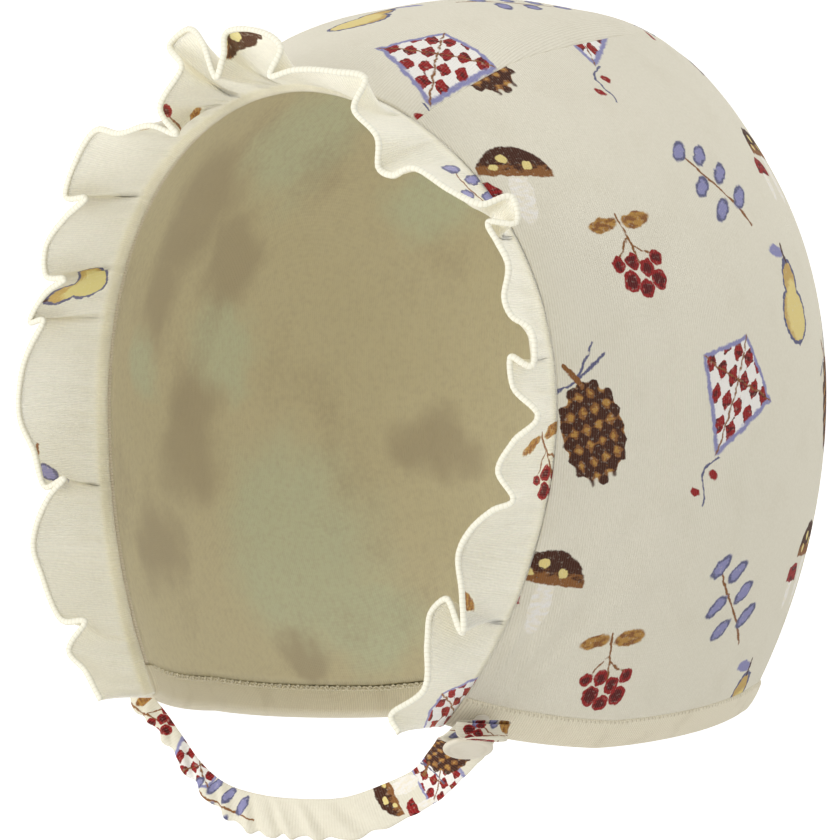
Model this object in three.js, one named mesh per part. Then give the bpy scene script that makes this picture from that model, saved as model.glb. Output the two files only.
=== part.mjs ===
// Baby bonnet in printed knit jersey, in the form that a head gives it.
// A crown of three panels, a lining, a folded neck band, a binding and a gathered ruffle at the
// face edge, and a chin strap that a snap holds at the wearer's left.
// Millimetres, +Z up, the face looks along -Y and +X is the wearer's left.
import * as THREE from 'three';
import { mergeGeometries, mergeVertices } from 'three/addons/utils/BufferGeometryUtils.js';

// Driving dimensions

const WALL = 1.0;
const GAP = 0.3;

// Outer surface: half axes from the head's middle, squarer than an ellipse by the two powers.
const HULL = {
  halfWidth: 66,
  front: 105,
  back: 80.5,
  crown: 84.4,
  nape: 99,
  planPower: 1.85,
  sidePower: 2.08,
  taper: 0.096,
  swell: 0.079,
};

// Ridge of the outer surface along the two crown seams: its share of the half axes, its place and
// spread across, the height where it is full, and the line behind the face where it starts.
const SEAM_RIDGE = { share: 0.054, x: 27.8, spread: 9.4, fullZ: 60, startY: -60, fullY: -30 };

// Face edge: its place along Y by height, a line bowed forward at the ears.
const FACE_EDGE = { y: -57.3, slope: 0.075, bow: 0.00204, middleZ: 8 };

// Lower edge of the neck band: it falls from the front corners towards the nape.
const NECK_EDGE = {
  frontY: -66.1,
  frontZ: -51,
  fall: 13,
  reach: 38,
  lean: 0.09,
  leanFrom: 36,
  leanOver: 55,
};

// Half width of the centre panel along its length, 0 at the face and 1 at the nape.
const CENTRE_PANEL = [
  { at: 0.0, half: 24.2 },
  { at: 0.1, half: 29.8 },
  { at: 0.2, half: 32.4 },
  { at: 0.3, half: 31.2 },
  { at: 0.5, half: 28.0 },
  { at: 0.75, half: 25.0 },
  { at: 1.0, half: 22.0 },
];

const NECK_BAND = { height: 6, proud: 0.3, steps: 52 };
const BINDING = { width: 1.2, wall: 1.2, steps: 76 };
const RUFFLE = { width: 21, wall: 1.1, rootLean: 0.45, steps: 196, rows: 4 };
const STRAP = {
  wall: 1.5,
  steps: 46,
  gathers: 15,
  gatherDepth: 0.5,
  tipRadius: 1.7,
  tipTurn: 185,
  tipSteps: 8,
};
const SNAP = {
  capDiameter: 9.5,
  capHeight: 1.1,
  capDome: 0.5,
  row: 12,
  lift: 0.6,
  studDiameter: 4.0,
  studHeight: 0.8,
  studDome: 0.2,
  studX: 37.8,
  studY: -59.5,
  studRise: 2.5,
};

// Inner top of the crown, where the head bears: the part's origin.
const SEAT_Z = HULL.crown - WALL - GAP - WALL;

// Free edge of the ruffle: the place of each fold along the seam, how far it leans along the
// seam and how far outward. What is left of the ruffle's width points forward.
const FOLDS = [
  { at: 0, lean: -5, out: -6 },
  { at: 3, lean: -1, out: -5.5 },
  { at: 8, lean: 0, out: -3 },
  { at: 12, lean: 0, out: -8 },
  { at: 17, lean: -2, out: -2.5 },
  { at: 25, lean: 0.5, out: 0.5 },
  { at: 33, lean: -0.5, out: 2 },
  { at: 41, lean: 0, out: -3 },
  { at: 44, lean: 0.5, out: -6.5 },
  { at: 45.5, lean: -2, out: -2 },
  { at: 52, lean: -1, out: 0.5 },
  { at: 60, lean: -1, out: 4.8 },
  { at: 69, lean: 0, out: 4 },
  { at: 77, lean: 2, out: 0 },
  { at: 80, lean: -2, out: 3.5 },
  { at: 85, lean: 0, out: 0.5 },
  { at: 88, lean: 1.5, out: -3 },
  { at: 90, lean: -1.5, out: 1.5 },
  { at: 94, lean: -0.5, out: 3.5 },
  { at: 101, lean: 0.5, out: 1.3 },
  { at: 104.5, lean: 3.5, out: -1 },
  { at: 107, lean: -2, out: 3.5 },
  { at: 112, lean: -0.5, out: 5.5 },
  { at: 119, lean: 0, out: 6 },
  { at: 124, lean: 0, out: 1 },
  { at: 131, lean: 0.5, out: -2 },
  { at: 134, lean: 2, out: -6 },
  { at: 136, lean: -1, out: 0 },
  { at: 138.5, lean: 3.5, out: 5.5 },
  { at: 140.5, lean: -2, out: 11.5 },
  { at: 143, lean: -1, out: 13 },
  { at: 146, lean: 0, out: 9 },
  { at: 148, lean: 1, out: 1.8 },
  { at: 149.5, lean: 1, out: 6 },
  { at: 151.5, lean: -1.5, out: 10.5 },
  { at: 157, lean: 0, out: 10 },
  { at: 159, lean: 1.5, out: 8 },
  { at: 161, lean: -1.5, out: 2.2 },
  { at: 164, lean: 0, out: 4.5 },
  { at: 171, lean: 0, out: 7 },
  { at: 176, lean: 0, out: 8.5 },
  { at: 178, lean: -1, out: 2.5 },
  { at: 184, lean: -0.5, out: 0.8 },
  { at: 187.5, lean: -0.5, out: -4 },
  { at: 190.5, lean: -0.5, out: -3 },
  { at: 194, lean: -1.5, out: 1.5 },
  { at: 200, lean: 0, out: 4.5 },
  { at: 204.5, lean: 1, out: 8 },
  { at: 207, lean: 0, out: 13 },
  { at: 209.5, lean: 1.5, out: 12 },
  { at: 211, lean: -2.5, out: 7.5 },
  { at: 217, lean: -0.5, out: 8 },
  { at: 222, lean: 0, out: 5.3 },
  { at: 225.5, lean: 0, out: 5.8 },
  { at: 229, lean: 0, out: 8.8 },
  { at: 232.5, lean: 2.5, out: 8 },
  { at: 235, lean: -2, out: 4 },
  { at: 239, lean: -0.5, out: 4 },
  { at: 244, lean: 0, out: 8.5 },
  { at: 249, lean: 0, out: 4 },
  { at: 255, lean: 0, out: 1.2 },
  { at: 260, lean: 0, out: 5 },
  { at: 263, lean: 0, out: 1 },
  { at: 268, lean: 0, out: -3 },
  { at: 273, lean: 0.5, out: -4.4 },
  { at: 280, lean: 0.5, out: -1 },
  { at: 284, lean: 3, out: 2 },
  { at: 286, lean: -3, out: -4.5 },
  { at: 288.5, lean: -1.5, out: -6.5 },
  { at: 293, lean: -0.5, out: -4.2 },
  { at: 299, lean: 1, out: 0 },
  { at: 305, lean: 3, out: -3 },
  { at: 308.5, lean: 1, out: 0.5 },
];

// Chin strap, from where it leaves the neck band at the wearer's right to the snap: the middle
// of each section, its width and the turn of its face about its length, in degrees.
const STRAP_SECTIONS = [
  { x: -36.6, y: -64.6, z: -52.5, width: 3.0, facing: -33 },
  { x: -33.0, y: -64.8, z: -55.0, width: 3.0, facing: -34 },
  { x: -28.6, y: -65.2, z: -59.2, width: 3.2, facing: -31 },
  { x: -24.0, y: -65.3, z: -64.1, width: 3.4, facing: -32 },
  { x: -18.2, y: -65.3, z: -68.3, width: 4.6, facing: -25 },
  { x: -9.9, y: -64.3, z: -71.5, width: 7.2, facing: -11 },
  { x: -1.5, y: -62.2, z: -71.9, width: 7.2, facing: -6 },
  { x: 7.8, y: -59.4, z: -71.4, width: 7.8, facing: -2 },
  { x: 16.0, y: -57.2, z: -68.3, width: 7.8, facing: 4 },
  { x: 23.4, y: -56.0, z: -64.3, width: 7.6, facing: 16 },
  { x: 28.3, y: -56.9, z: -60.1, width: 8.2, facing: 32 },
  { x: 32.1, y: -58.3, z: -56.9, width: 9.2, facing: 58 },
  { x: 37.4, y: -62.6, z: -53.4, width: 10.4, facing: 80 },
  { x: 42.9, y: -65.4, z: -49.4, width: 11.2, facing: 84 },
];

const COLOURS = {
  jersey: { color: '#e2dfd0', roughness: 0.92 },
  lining: { color: '#b4a98a', roughness: 0.95 },
  rib: { color: '#d6cfba', roughness: 0.92 },
  edging: { color: '#ebe5d3', roughness: 0.85 },
  snap: { color: '#d8d1bd', roughness: 0.35 },
};

// Shared tools

function crossing(level, below, above) {
  // The place between two ends where a rising function passes through zero.
  let low = below;
  let high = above;
  for (let step = 0; step < 44; step += 1) {
    const middle = (low + high) / 2;
    if (level(middle) > 0) {
      high = middle;
    } else {
      low = middle;
    }
  }
  return (low + high) / 2;
}

function tableValue(rows, at, column) {
  // A smooth curve through the rows, read at one place.
  const last = rows.length - 1;
  const next = Math.min(last, Math.max(1, rows.findIndex((row) => row.at >= at)));
  const from = rows[next - 1];
  const to = rows[next];
  const slopeAt = (index) => {
    const before = rows[Math.max(0, index - 1)];
    const after = rows[Math.min(last, index + 1)];
    return (after[column] - before[column]) / (after.at - before.at);
  };
  const span = to.at - from.at;
  const t = (at - from.at) / span;
  const rise = to[column] - from[column];
  const start = slopeAt(next - 1) * span;
  const end = slopeAt(next) * span;
  const ease = t * t * (3 - 2 * t);
  return from[column] + rise * ease + start * t * (1 - t) * (1 - t) - end * t * t * (1 - t);
}

function facedOutward(geometry) {
  // The same solid with its triangles turned so that they face out.
  const place = geometry.attributes.position;
  const index = geometry.index.array;
  const corners = [new THREE.Vector3(), new THREE.Vector3(), new THREE.Vector3()];
  let volume = 0;
  for (let face = 0; face < index.length; face += 3) {
    corners.forEach((corner, k) => corner.fromBufferAttribute(place, index[face + k]));
    volume += corners[0].dot(corners[1].clone().cross(corners[2])) / 6;
  }
  if (volume < 0) {
    for (let face = 0; face < index.length; face += 3) {
      [index[face + 1], index[face + 2]] = [index[face + 2], index[face + 1]];
    }
  }
  return geometry;
}

function solidFrom(points, triangles) {
  const geometry = new THREE.BufferGeometry().setFromPoints(points);
  geometry.setIndex(triangles);
  return facedOutward(geometry);
}

function sheet(pointAt, columns, rows) {
  // An open grid of cloth, whose front is where across x along points. Its points are rounded,
  // so that sheets which share an edge join.
  const grid = new THREE.PlaneGeometry(1, 1, columns, rows);
  const place = grid.attributes.position;
  for (let i = 0; i < place.count; i += 1) {
    const across = (i % (columns + 1)) / columns;
    const along = 1 - Math.floor(i / (columns + 1)) / rows;
    place.setXYZ(i, ...pointAt(across, along).toArray().map((value) => Math.round(value * 1000) / 1000));
  }
  grid.deleteAttribute('uv');
  grid.deleteAttribute('normal');
  return grid;
}

function clothWall(sheets, outer, inner, normalAt) {
  // A closed wall about joined sheets, from outer above their front to inner below it.
  const joined = mergeVertices(mergeGeometries(sheets), 0.001);
  joined.computeVertexNormals();
  const place = joined.attributes.position;
  const count = place.count;
  const points = [];
  [outer, -inner].forEach((offset) => {
    for (let i = 0; i < count; i += 1) {
      const point = new THREE.Vector3().fromBufferAttribute(place, i);
      const own = new THREE.Vector3().fromBufferAttribute(joined.attributes.normal, i);
      points.push(point.addScaledVector(normalAt ? normalAt(point) : own, offset));
    }
  });
  const index = joined.index.array;
  const triangles = [];
  const edges = new Set();
  for (let face = 0; face < index.length; face += 3) {
    const [a, b, c] = index.slice(face, face + 3);
    triangles.push(a, b, c, a + count, c + count, b + count);
    edges.add(`${a},${b}`).add(`${b},${c}`).add(`${c},${a}`);
  }
  edges.forEach((edge) => {
    const [a, b] = edge.split(',').map(Number);
    if (!edges.has(`${b},${a}`)) {
      triangles.push(b, a, a + count, b, a + count, b + count);
    }
  });
  return solidFrom(points, triangles);
}

function loftedSolid(rings) {
  // A closed solid through rings of the same number of points, with flat ends.
  const size = rings[0].length;
  const triangles = [];
  for (let ring = 0; ring < rings.length - 1; ring += 1) {
    for (let i = 0; i < size; i += 1) {
      const a = ring * size + i;
      const b = ring * size + ((i + 1) % size);
      triangles.push(a, b, b + size, a, b + size, a + size);
    }
  }
  const end = (rings.length - 1) * size;
  for (let i = 1; i < size - 1; i += 1) {
    triangles.push(0, i + 1, i, end, end + i, end + i + 1);
  }
  return solidFrom(rings.flat(), triangles);
}

// Outer surface and its edges

function hullLevel(x, y, z) {
  // Below zero inside the bonnet's outer surface, above zero outside it.
  const height = z / 100;
  const halfWidth = HULL.halfWidth * (1 + HULL.taper * height - HULL.swell * height * height);
  const length = y < 0 ? HULL.front : HULL.back;
  const rise = z < 0 ? HULL.nape : HULL.crown;
  const across = (Math.abs(x) / halfWidth) ** HULL.planPower;
  const plan = across + (Math.abs(y) / length) ** HULL.planPower;
  const fromSeam = (Math.abs(x) - SEAM_RIDGE.x) / SEAM_RIDGE.spread;
  const upper = THREE.MathUtils.smoothstep(z, 0, SEAM_RIDGE.fullZ);
  const behind = THREE.MathUtils.smoothstep(y, SEAM_RIDGE.startY, SEAM_RIDGE.fullY);
  const ridge = SEAM_RIDGE.share * Math.exp(-fromSeam * fromSeam) * upper * behind;
  const upright = (Math.abs(z) / rise) ** HULL.sidePower;
  return plan ** (HULL.sidePower / HULL.planPower) + upright - 1 - ridge;
}

function outwardAt(point) {
  // Unit normal of the outer surface near a point.
  const step = 0.05;
  const { x, y, z } = point;
  return new THREE.Vector3(
    hullLevel(x + step, y, z) - hullLevel(x - step, y, z),
    hullLevel(x, y + step, z) - hullLevel(x, y - step, z),
    hullLevel(x, y, z + step) - hullLevel(x, y, z - step),
  ).normalize();
}

function ontoHull(point, inset) {
  // The point of the surface in the same direction from the head's middle, then inset mm inward.
  const scale = crossing((s) => hullLevel(point.x * s, point.y * s, point.z * s), 0.2, 3);
  const place = point.clone().multiplyScalar(scale);
  return place.addScaledVector(outwardAt(place), -inset);
}

const faceEdgeY = (z) => FACE_EDGE.y + FACE_EDGE.slope * z - FACE_EDGE.bow * z * z;

function neckEdgeZ(x, y) {
  const behind = Math.max(0, y - NECK_EDGE.frontY);
  const leaning = THREE.MathUtils.clamp((behind - NECK_EDGE.leanFrom) / NECK_EDGE.leanOver, 0, 1);
  const fallen = NECK_EDGE.fall * (1 - Math.exp(-behind / NECK_EDGE.reach));
  return NECK_EDGE.frontZ - fallen + NECK_EDGE.lean * x * leaning;
}

function facePoint(angle, back) {
  // A point near the face edge, back mm behind it, by the angle from straight up to the left.
  const sine = Math.sin(angle);
  const cosine = Math.cos(angle);
  const placeAt = (r) => new THREE.Vector3(r * sine, faceEdgeY(r * cosine) + back, r * cosine);
  return placeAt(crossing((r) => hullLevel(...placeAt(r).toArray()), 0, 110));
}

function neckPoint(planAngle, rise) {
  // A point rise mm above the neck edge, by the angle from the nape to the wearer's left.
  const sine = Math.sin(planAngle);
  const cosine = Math.cos(planAngle);
  const heightAt = (r) => neckEdgeZ(r * sine, r * cosine) + rise;
  const placeAt = (r) => new THREE.Vector3(r * sine, r * cosine, heightAt(r));
  return placeAt(crossing((r) => hullLevel(...placeAt(r).toArray()), 0, 110));
}

function cornerAngle(side, rise, back) {
  // The face edge's angle where it meets the line rise mm above the neck edge.
  const [near, far] = [THREE.MathUtils.degToRad(100), THREE.MathUtils.degToRad(175)];
  return side * crossing((angle) => {
    const place = facePoint(side * angle, back);
    return neckEdgeZ(place.x, place.y) + rise - place.z;
  }, near, far);
}

const planAngleOf = (place) => Math.atan2(place.x, place.y);

// The lengthwise lines of the crown: slices of constant x from the face edge to the nape

function slicePoint(x, turn) {
  const placeAt = (r) => new THREE.Vector3(x, r * Math.cos(turn), r * Math.sin(turn));
  return placeAt(crossing((r) => hullLevel(...placeAt(r).toArray()), 0, 140));
}

function sliceTurn(x, along, rise, back) {
  // The direction in the slice, from its front end at 0 to its lower end at 1.
  const startZ = crossing((z) => hullLevel(x, faceEdgeY(z) + back, z), 0, 100);
  const start = Math.atan2(startZ, faceEdgeY(startZ) + back);
  const end = -crossing((fall) => {
    const place = slicePoint(x, -fall);
    return neckEdgeZ(x, place.y) + rise - place.z;
  }, 0, Math.PI / 2);
  return THREE.MathUtils.lerp(start, end, along);
}

function seamPoint(side, along, shift, extent) {
  // A point of the seam between the centre panel and a side panel, moved shift mm outward.
  const x = side * (tableValue(CENTRE_PANEL, along, 'half') + shift);
  return slicePoint(x, sliceTurn(x, along, extent.rise, extent.back));
}

// Cloth of the crown, as sheets that stop rise mm above the neck edge and back mm behind the face

function centreSheet(shift, inset, extent) {
  return sheet((across, along) => {
    const half = tableValue(CENTRE_PANEL, along, 'half') + shift;
    const x = (2 * across - 1) * half;
    return ontoHull(slicePoint(x, sliceTurn(x, along, extent.rise, extent.back)), inset);
  }, 8, 28);
}

function sideSheet(side, shift, inset, extent) {
  // A patch between the seam over the crown, the seam down the back, the neck and the face edge.
  const seam = (along) => seamPoint(side, along, shift, extent);
  const faceTop = seam(0);
  const topAngle = Math.atan2(faceTop.x, faceTop.z);
  const lowAngle = cornerAngle(side, extent.rise, extent.back);
  const faceLow = facePoint(lowAngle, extent.back);
  const frontPlan = planAngleOf(faceLow);
  const backPlan = planAngleOf(seam(1));
  const front = (v) => facePoint(THREE.MathUtils.lerp(lowAngle, topAngle, v), extent.back);
  const rear = (v) => seam(1 - v / 2);
  const low = (u) => neckPoint(THREE.MathUtils.lerp(frontPlan, backPlan, u), extent.rise);
  const top = (u) => seam(u / 2);
  const blend = (first, second, t) => first.clone().lerp(second, t);
  return sheet((across, v) => {
    const u = side > 0 ? across : 1 - across;
    const lengthwise = blend(low(u), top(u), v);
    const upright = blend(front(v), rear(v), u);
    const corners = blend(blend(low(0), low(1), u), blend(top(0), top(1), u), v);
    return ontoHull(lengthwise.add(upright).sub(corners), inset);
  }, 14, 14);
}

function crownPanels() {
  const extent = { rise: NECK_BAND.height + GAP, back: 0 };
  return {
    centre_panel: clothWall([centreSheet(-GAP / 2, 0, extent)], 0, WALL, outwardAt),
    side_panel_left: clothWall([sideSheet(1, GAP / 2, 0, extent)], 0, WALL, outwardAt),
    side_panel_right: clothWall([sideSheet(-1, GAP / 2, 0, extent)], 0, WALL, outwardAt),
  };
}

function lining() {
  const extent = { rise: NECK_BAND.height + GAP, back: BINDING.width + GAP };
  const inset = WALL + GAP;
  const centre = centreSheet(0, inset, extent);
  const sides = [1, -1].map((side) => sideSheet(side, 0, inset, extent));
  return clothWall([centre, ...sides], 0, WALL, outwardAt);
}

function neckBand() {
  // One band folded about the neck edge, from corner to corner round the nape.
  const depth = WALL + GAP + WALL;
  const section = [
    { out: NECK_BAND.proud, rise: NECK_BAND.height },
    { out: NECK_BAND.proud, rise: 1.2 },
    { out: -0.2, rise: 0.3 },
    { out: -depth / 2, rise: 0 },
    { out: -depth + 0.2, rise: 0.3 },
    { out: -depth - NECK_BAND.proud, rise: 1.2 },
    { out: -depth - NECK_BAND.proud, rise: NECK_BAND.height },
  ];
  const ringAt = (share) => section.map(({ out, rise }) => {
    const left = planAngleOf(facePoint(cornerAngle(1, rise, 0), 0));
    const right = planAngleOf(facePoint(cornerAngle(-1, rise, 0), 0));
    const place = neckPoint(THREE.MathUtils.lerp(left, right, share), rise);
    return place.addScaledVector(outwardAt(place), out);
  });
  const rings = [];
  for (let step = 0; step <= NECK_BAND.steps; step += 1) {
    rings.push(ringAt(step / NECK_BAND.steps));
  }
  return loftedSolid(rings);
}

// Face edge as a curve by length, from the right corner over the forehead to the left one

const FACE_EDGE_STEPS = 120;
const faceEdge = new THREE.CatmullRomCurve3();
for (let step = 0; step <= FACE_EDGE_STEPS; step += 1) {
  const share = step / FACE_EDGE_STEPS;
  const angle = THREE.MathUtils.lerp(cornerAngle(-1, 0, 0), cornerAngle(1, 0, 0), share);
  faceEdge.points.push(facePoint(angle, 0));
}
faceEdge.arcLengthDivisions = 800;
const faceEdgeLength = faceEdge.getLength();

function faceFrame(at) {
  // Point of the face edge with its directions: along the edge, outward and forward.
  const share = THREE.MathUtils.clamp(at / faceEdgeLength, 0, 1);
  const place = faceEdge.getPointAt(share);
  const along = faceEdge.getTangentAt(share);
  const outward = new THREE.Vector3(place.x, 0, place.z - FACE_EDGE.middleZ).normalize();
  outward.addScaledVector(along, -outward.dot(along)).normalize();
  const forward = along.clone().cross(outward);
  return { place, along, outward, forward };
}

function faceBinding() {
  // A narrow strip in the lining's layer, between the lining and the ruffle.
  const depth = WALL + GAP;
  const section = [
    { out: -depth, back: 0 },
    { out: -depth, back: BINDING.width },
    { out: -depth - BINDING.wall, back: BINDING.width },
    { out: -depth - BINDING.wall, back: 0 },
  ];
  const [right, left] = [-1, 1].map((side) => cornerAngle(side, NECK_BAND.height + GAP, BINDING.width));
  const rings = [];
  for (let step = 0; step <= BINDING.steps; step += 1) {
    const angle = THREE.MathUtils.lerp(right, left, step / BINDING.steps);
    rings.push(section.map(({ out, back }) => {
      const place = facePoint(angle, back);
      return place.addScaledVector(outwardAt(place), out);
    }));
  }
  return loftedSolid(rings);
}

function faceRuffle() {
  // A strip gathered on the face edge: straight at the seam, folded at its free edge.
  const folds = new THREE.CatmullRomCurve3(
    FOLDS.map((row) => new THREE.Vector3(row.at, row.lean, row.out)),
    false,
    'centripetal',
  );
  folds.arcLengthDivisions = 1500;
  const pointAt = (along, across) => {
    const fold = folds.getPointAt(along);
    const frame = faceFrame(fold.x);
    const forward = Math.sqrt(RUFFLE.width ** 2 - fold.y ** 2 - fold.z ** 2);
    const root = 2 * across * (1 - across) * RUFFLE.width * RUFFLE.rootLean;
    const share = across * across;
    const start = GAP + RUFFLE.wall / 8;
    return frame.place
      .addScaledVector(frame.outward, -WALL / 2 + share * fold.z)
      .addScaledVector(frame.along, share * fold.y)
      .addScaledVector(frame.forward, start + root + share * (forward - start));
  };
  return clothWall([sheet(pointAt, RUFFLE.steps, RUFFLE.rows)], RUFFLE.wall / 2, RUFFLE.wall / 2);
}

// Chin strap

const strapMiddles = STRAP_SECTIONS.map((row) => new THREE.Vector3(row.x, row.y, row.z));
const strapLine = new THREE.CatmullRomCurve3(strapMiddles);

function strapFrame(share) {
  // Middle of the strap with its directions: along it, down its width and out of its inner face.
  const place = strapLine.getPoint(share);
  const along = strapLine.getTangent(share);
  const rows = STRAP_SECTIONS.map((row, i) => ({ ...row, at: i / (STRAP_SECTIONS.length - 1) }));
  const facing = THREE.MathUtils.degToRad(tableValue(rows, share, 'facing'));
  const down = new THREE.Vector3(0, 0, -1).addScaledVector(along, along.z).normalize();
  const width = down.clone().applyAxisAngle(along, facing);
  const inner = along.clone().cross(width);
  const gather = Math.sin(share * STRAP.gathers * Math.PI) ** 2 * STRAP.gatherDepth;
  const half = tableValue(rows, share, 'width') / 2;
  return { place, along, width, inner, half, gather };
}

function strapRing(place, width, inner, half, gather) {
  // A flat oval section, with the gathers on its lower edge.
  const wall = STRAP.wall / 2;
  const edge = half - wall;
  const upper = [[-half, 0], [-edge, wall], [edge, wall]];
  const lower = [[half + gather, 0], [edge, -wall], [-edge, -wall]];
  return [...upper, ...lower].map(([across, out]) => (
    place.clone().addScaledVector(width, across).addScaledVector(inner, out)
  ));
}

function chinStrap() {
  const rings = [];
  for (let step = 0; step <= STRAP.steps; step += 1) {
    const frame = strapFrame(step / STRAP.steps);
    rings.push(strapRing(frame.place, frame.width, frame.inner, frame.half, frame.gather));
  }
  const end = strapFrame(1);
  const centre = end.place.clone().addScaledVector(end.inner, -STRAP.tipRadius);
  for (let step = 1; step <= STRAP.tipSteps; step += 1) {
    // The tip rolls outward over the snap, and its end is rounded.
    const share = step / STRAP.tipSteps;
    const turn = THREE.MathUtils.degToRad(-STRAP.tipTurn * share);
    const inner = end.inner.clone().applyAxisAngle(end.width, turn);
    const half = end.half * Math.sqrt(1 - 0.6 * share ** 3);
    const place = centre.clone().addScaledVector(inner, STRAP.tipRadius);
    rings.push(strapRing(place, end.width, inner, half, 0));
  }
  return loftedSolid(rings);
}

function disc(diameter, height, dome) {
  // A round disc about Z on its base, whose rim is rounded over the height of the dome.
  const radius = diameter / 2;
  const lower = [[0, 0], [radius - 0.2, 0], [radius, 0.25]];
  const upper = [[radius, height - dome], [radius - 0.5, height], [0, height]];
  const profile = [...lower, ...upper].map(([r, z]) => new THREE.Vector2(r, z));
  return new THREE.LatheGeometry(profile, 28).rotateX(Math.PI / 2);
}

function closedLathe(geometry) {
  geometry.deleteAttribute('uv');
  geometry.deleteAttribute('normal');
  const merged = mergeVertices(geometry, 0.001);
  const index = merged.index.array;
  const kept = [];
  for (let face = 0; face < index.length; face += 3) {
    const [a, b, c] = index.slice(face, face + 3);
    if (a !== b && b !== c && c !== a) {
      kept.push(a, b, c);
    }
  }
  merged.setIndex(kept);
  return facedOutward(merged);
}

function placedDisc(geometry, place, axis) {
  const turn = new THREE.Quaternion().setFromUnitVectors(new THREE.Vector3(0, 0, 1), axis);
  return closedLathe(geometry).applyQuaternion(turn).translate(...place.toArray());
}

function snapCap() {
  const frame = strapFrame(SNAP.row / (STRAP_SECTIONS.length - 1));
  const axis = frame.inner.clone().negate();
  const place = frame.place.addScaledVector(axis, STRAP.wall / 2 + SNAP.lift);
  return placedDisc(disc(SNAP.capDiameter, SNAP.capHeight, SNAP.capDome), place, axis);
}

function snapStud() {
  // The hidden half of the snap, on the neck band behind the strap's rolled tip.
  const place = neckPoint(Math.atan2(SNAP.studX, SNAP.studY), SNAP.studRise);
  const axis = outwardAt(place);
  place.addScaledVector(axis, NECK_BAND.proud + GAP);
  return placedDisc(disc(SNAP.studDiameter, SNAP.studHeight, SNAP.studDome), place, axis);
}

// Assembly

function piece(name, geometry, finish) {
  const material = new THREE.MeshStandardMaterial({ ...COLOURS[finish], metalness: 0 });
  const mesh = new THREE.Mesh(geometry, material);
  mesh.name = name;
  return mesh;
}

const bonnet = new THREE.Group();
Object.entries(crownPanels()).forEach(([name, geometry]) => bonnet.add(piece(name, geometry, 'jersey')));
bonnet.add(piece('lining', lining(), 'lining'));
bonnet.add(piece('neck_band', neckBand(), 'rib'));
bonnet.add(piece('face_binding', faceBinding(), 'edging'));
bonnet.add(piece('face_ruffle', faceRuffle(), 'edging'));
bonnet.add(piece('chin_strap', chinStrap(), 'jersey'));
bonnet.add(piece('snap_cap', snapCap(), 'snap'));
bonnet.add(piece('snap_stud', snapStud(), 'snap'));
bonnet.position.z = -SEAT_Z;

export default bonnet;
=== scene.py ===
"""A baby's bonnet in printed cotton jersey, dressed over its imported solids.

The crown's three panels, the lining, the folded neck band, the gathered ruffle round the face
and the chin strap with its snap are surfaces worked out with numpy, in millimetres about the
middle of the head. They go into the frame in metres. Each cloth has a UV map of its own whose
unit is a millimetre of cloth, and its knit, print, stitches and wear are drawn on that map.
"""

import logging
import math
from dataclasses import dataclass, field
from enum import Enum
from functools import reduce
from typing import Callable, Iterable, Optional, Sequence, Union

import bpy
import numpy as np
from mathutils import Matrix, Vector

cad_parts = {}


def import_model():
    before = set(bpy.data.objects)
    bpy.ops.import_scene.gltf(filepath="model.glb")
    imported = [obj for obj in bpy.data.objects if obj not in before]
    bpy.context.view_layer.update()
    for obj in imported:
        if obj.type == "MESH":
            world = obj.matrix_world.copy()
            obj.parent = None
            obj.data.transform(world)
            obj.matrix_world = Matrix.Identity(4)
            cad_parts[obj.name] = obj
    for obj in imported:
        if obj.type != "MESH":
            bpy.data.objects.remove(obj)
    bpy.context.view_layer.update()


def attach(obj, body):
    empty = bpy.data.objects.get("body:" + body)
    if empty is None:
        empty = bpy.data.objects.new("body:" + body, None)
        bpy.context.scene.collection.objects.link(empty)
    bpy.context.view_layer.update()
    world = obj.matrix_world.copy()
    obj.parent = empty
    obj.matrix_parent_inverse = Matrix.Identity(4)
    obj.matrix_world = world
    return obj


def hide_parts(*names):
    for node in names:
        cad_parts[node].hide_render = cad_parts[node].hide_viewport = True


LOG = logging.getLogger("bonnet")
Array = np.ndarray
Number = Union[float, Array]
Colour = tuple[float, float, float]

WALL = 1.0
GAP = 0.3
SEAT_Z = 82.1
AZIMUTH = 34.0
TURN = 2 * math.pi
CLOTH_MAP = "cloth"
BAND_HEIGHT = 6.0
PER_METRE = 1000
STITCH = 0.88


def tone(red: float, green: float, blue: float) -> Colour:
    """Gives a colour as the shaders want it.

    Args:
        red, green, blue: The colour as a screen shows it, each from 0 to 255.

    Returns:
        The same colour as three amounts of light from 0 to 1.
    """
    parts = [value / 255 for value in (red, green, blue)]
    return tuple(v / 12.92 if v <= 0.04045 else ((v + 0.055) / 1.055) ** 2.4 for v in parts)


# Numbers and arrays


def crossing(level: Callable[[Array], Array], below: Number, above: Number,
             steps: int = 36) -> Array:
    """Finds where rising functions pass through zero, for a whole array at once.

    Args:
        level: Gives the function's value for an array of places.
        below, above: Places on the two sides of zero, of the result's shape.
        steps: How many times the stretch is halved.

    Returns:
        The places of the crossings.
    """
    low, high = np.array(below, float), np.array(above, float)
    for _ in range(steps):
        middle = (low + high) / 2
        over = level(middle) > 0
        high = np.where(over, middle, high)
        low = np.where(over, low, middle)
    return (low + high) / 2


def unit(vectors: Array) -> Array:
    """Gives vectors their direction with a length of 1."""
    return vectors / np.maximum(np.linalg.norm(vectors, axis=-1, keepdims=True), 1e-12)


def run_along(line: Array) -> Array:
    """How far each point of a line is from its start, along the line."""
    return np.concatenate([[0.0], np.cumsum(np.linalg.norm(np.diff(line, axis=0), axis=1))])


def ring(turn: Array, first: Array, second: Array) -> Array:
    """Directions round a circle: one axis by the turn's cosine and another by its sine."""
    cosine, sine = np.cos(turn)[:, None], np.sin(turn)[:, None]
    return cosine * first[..., None, :] + sine * second[..., None, :]


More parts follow.
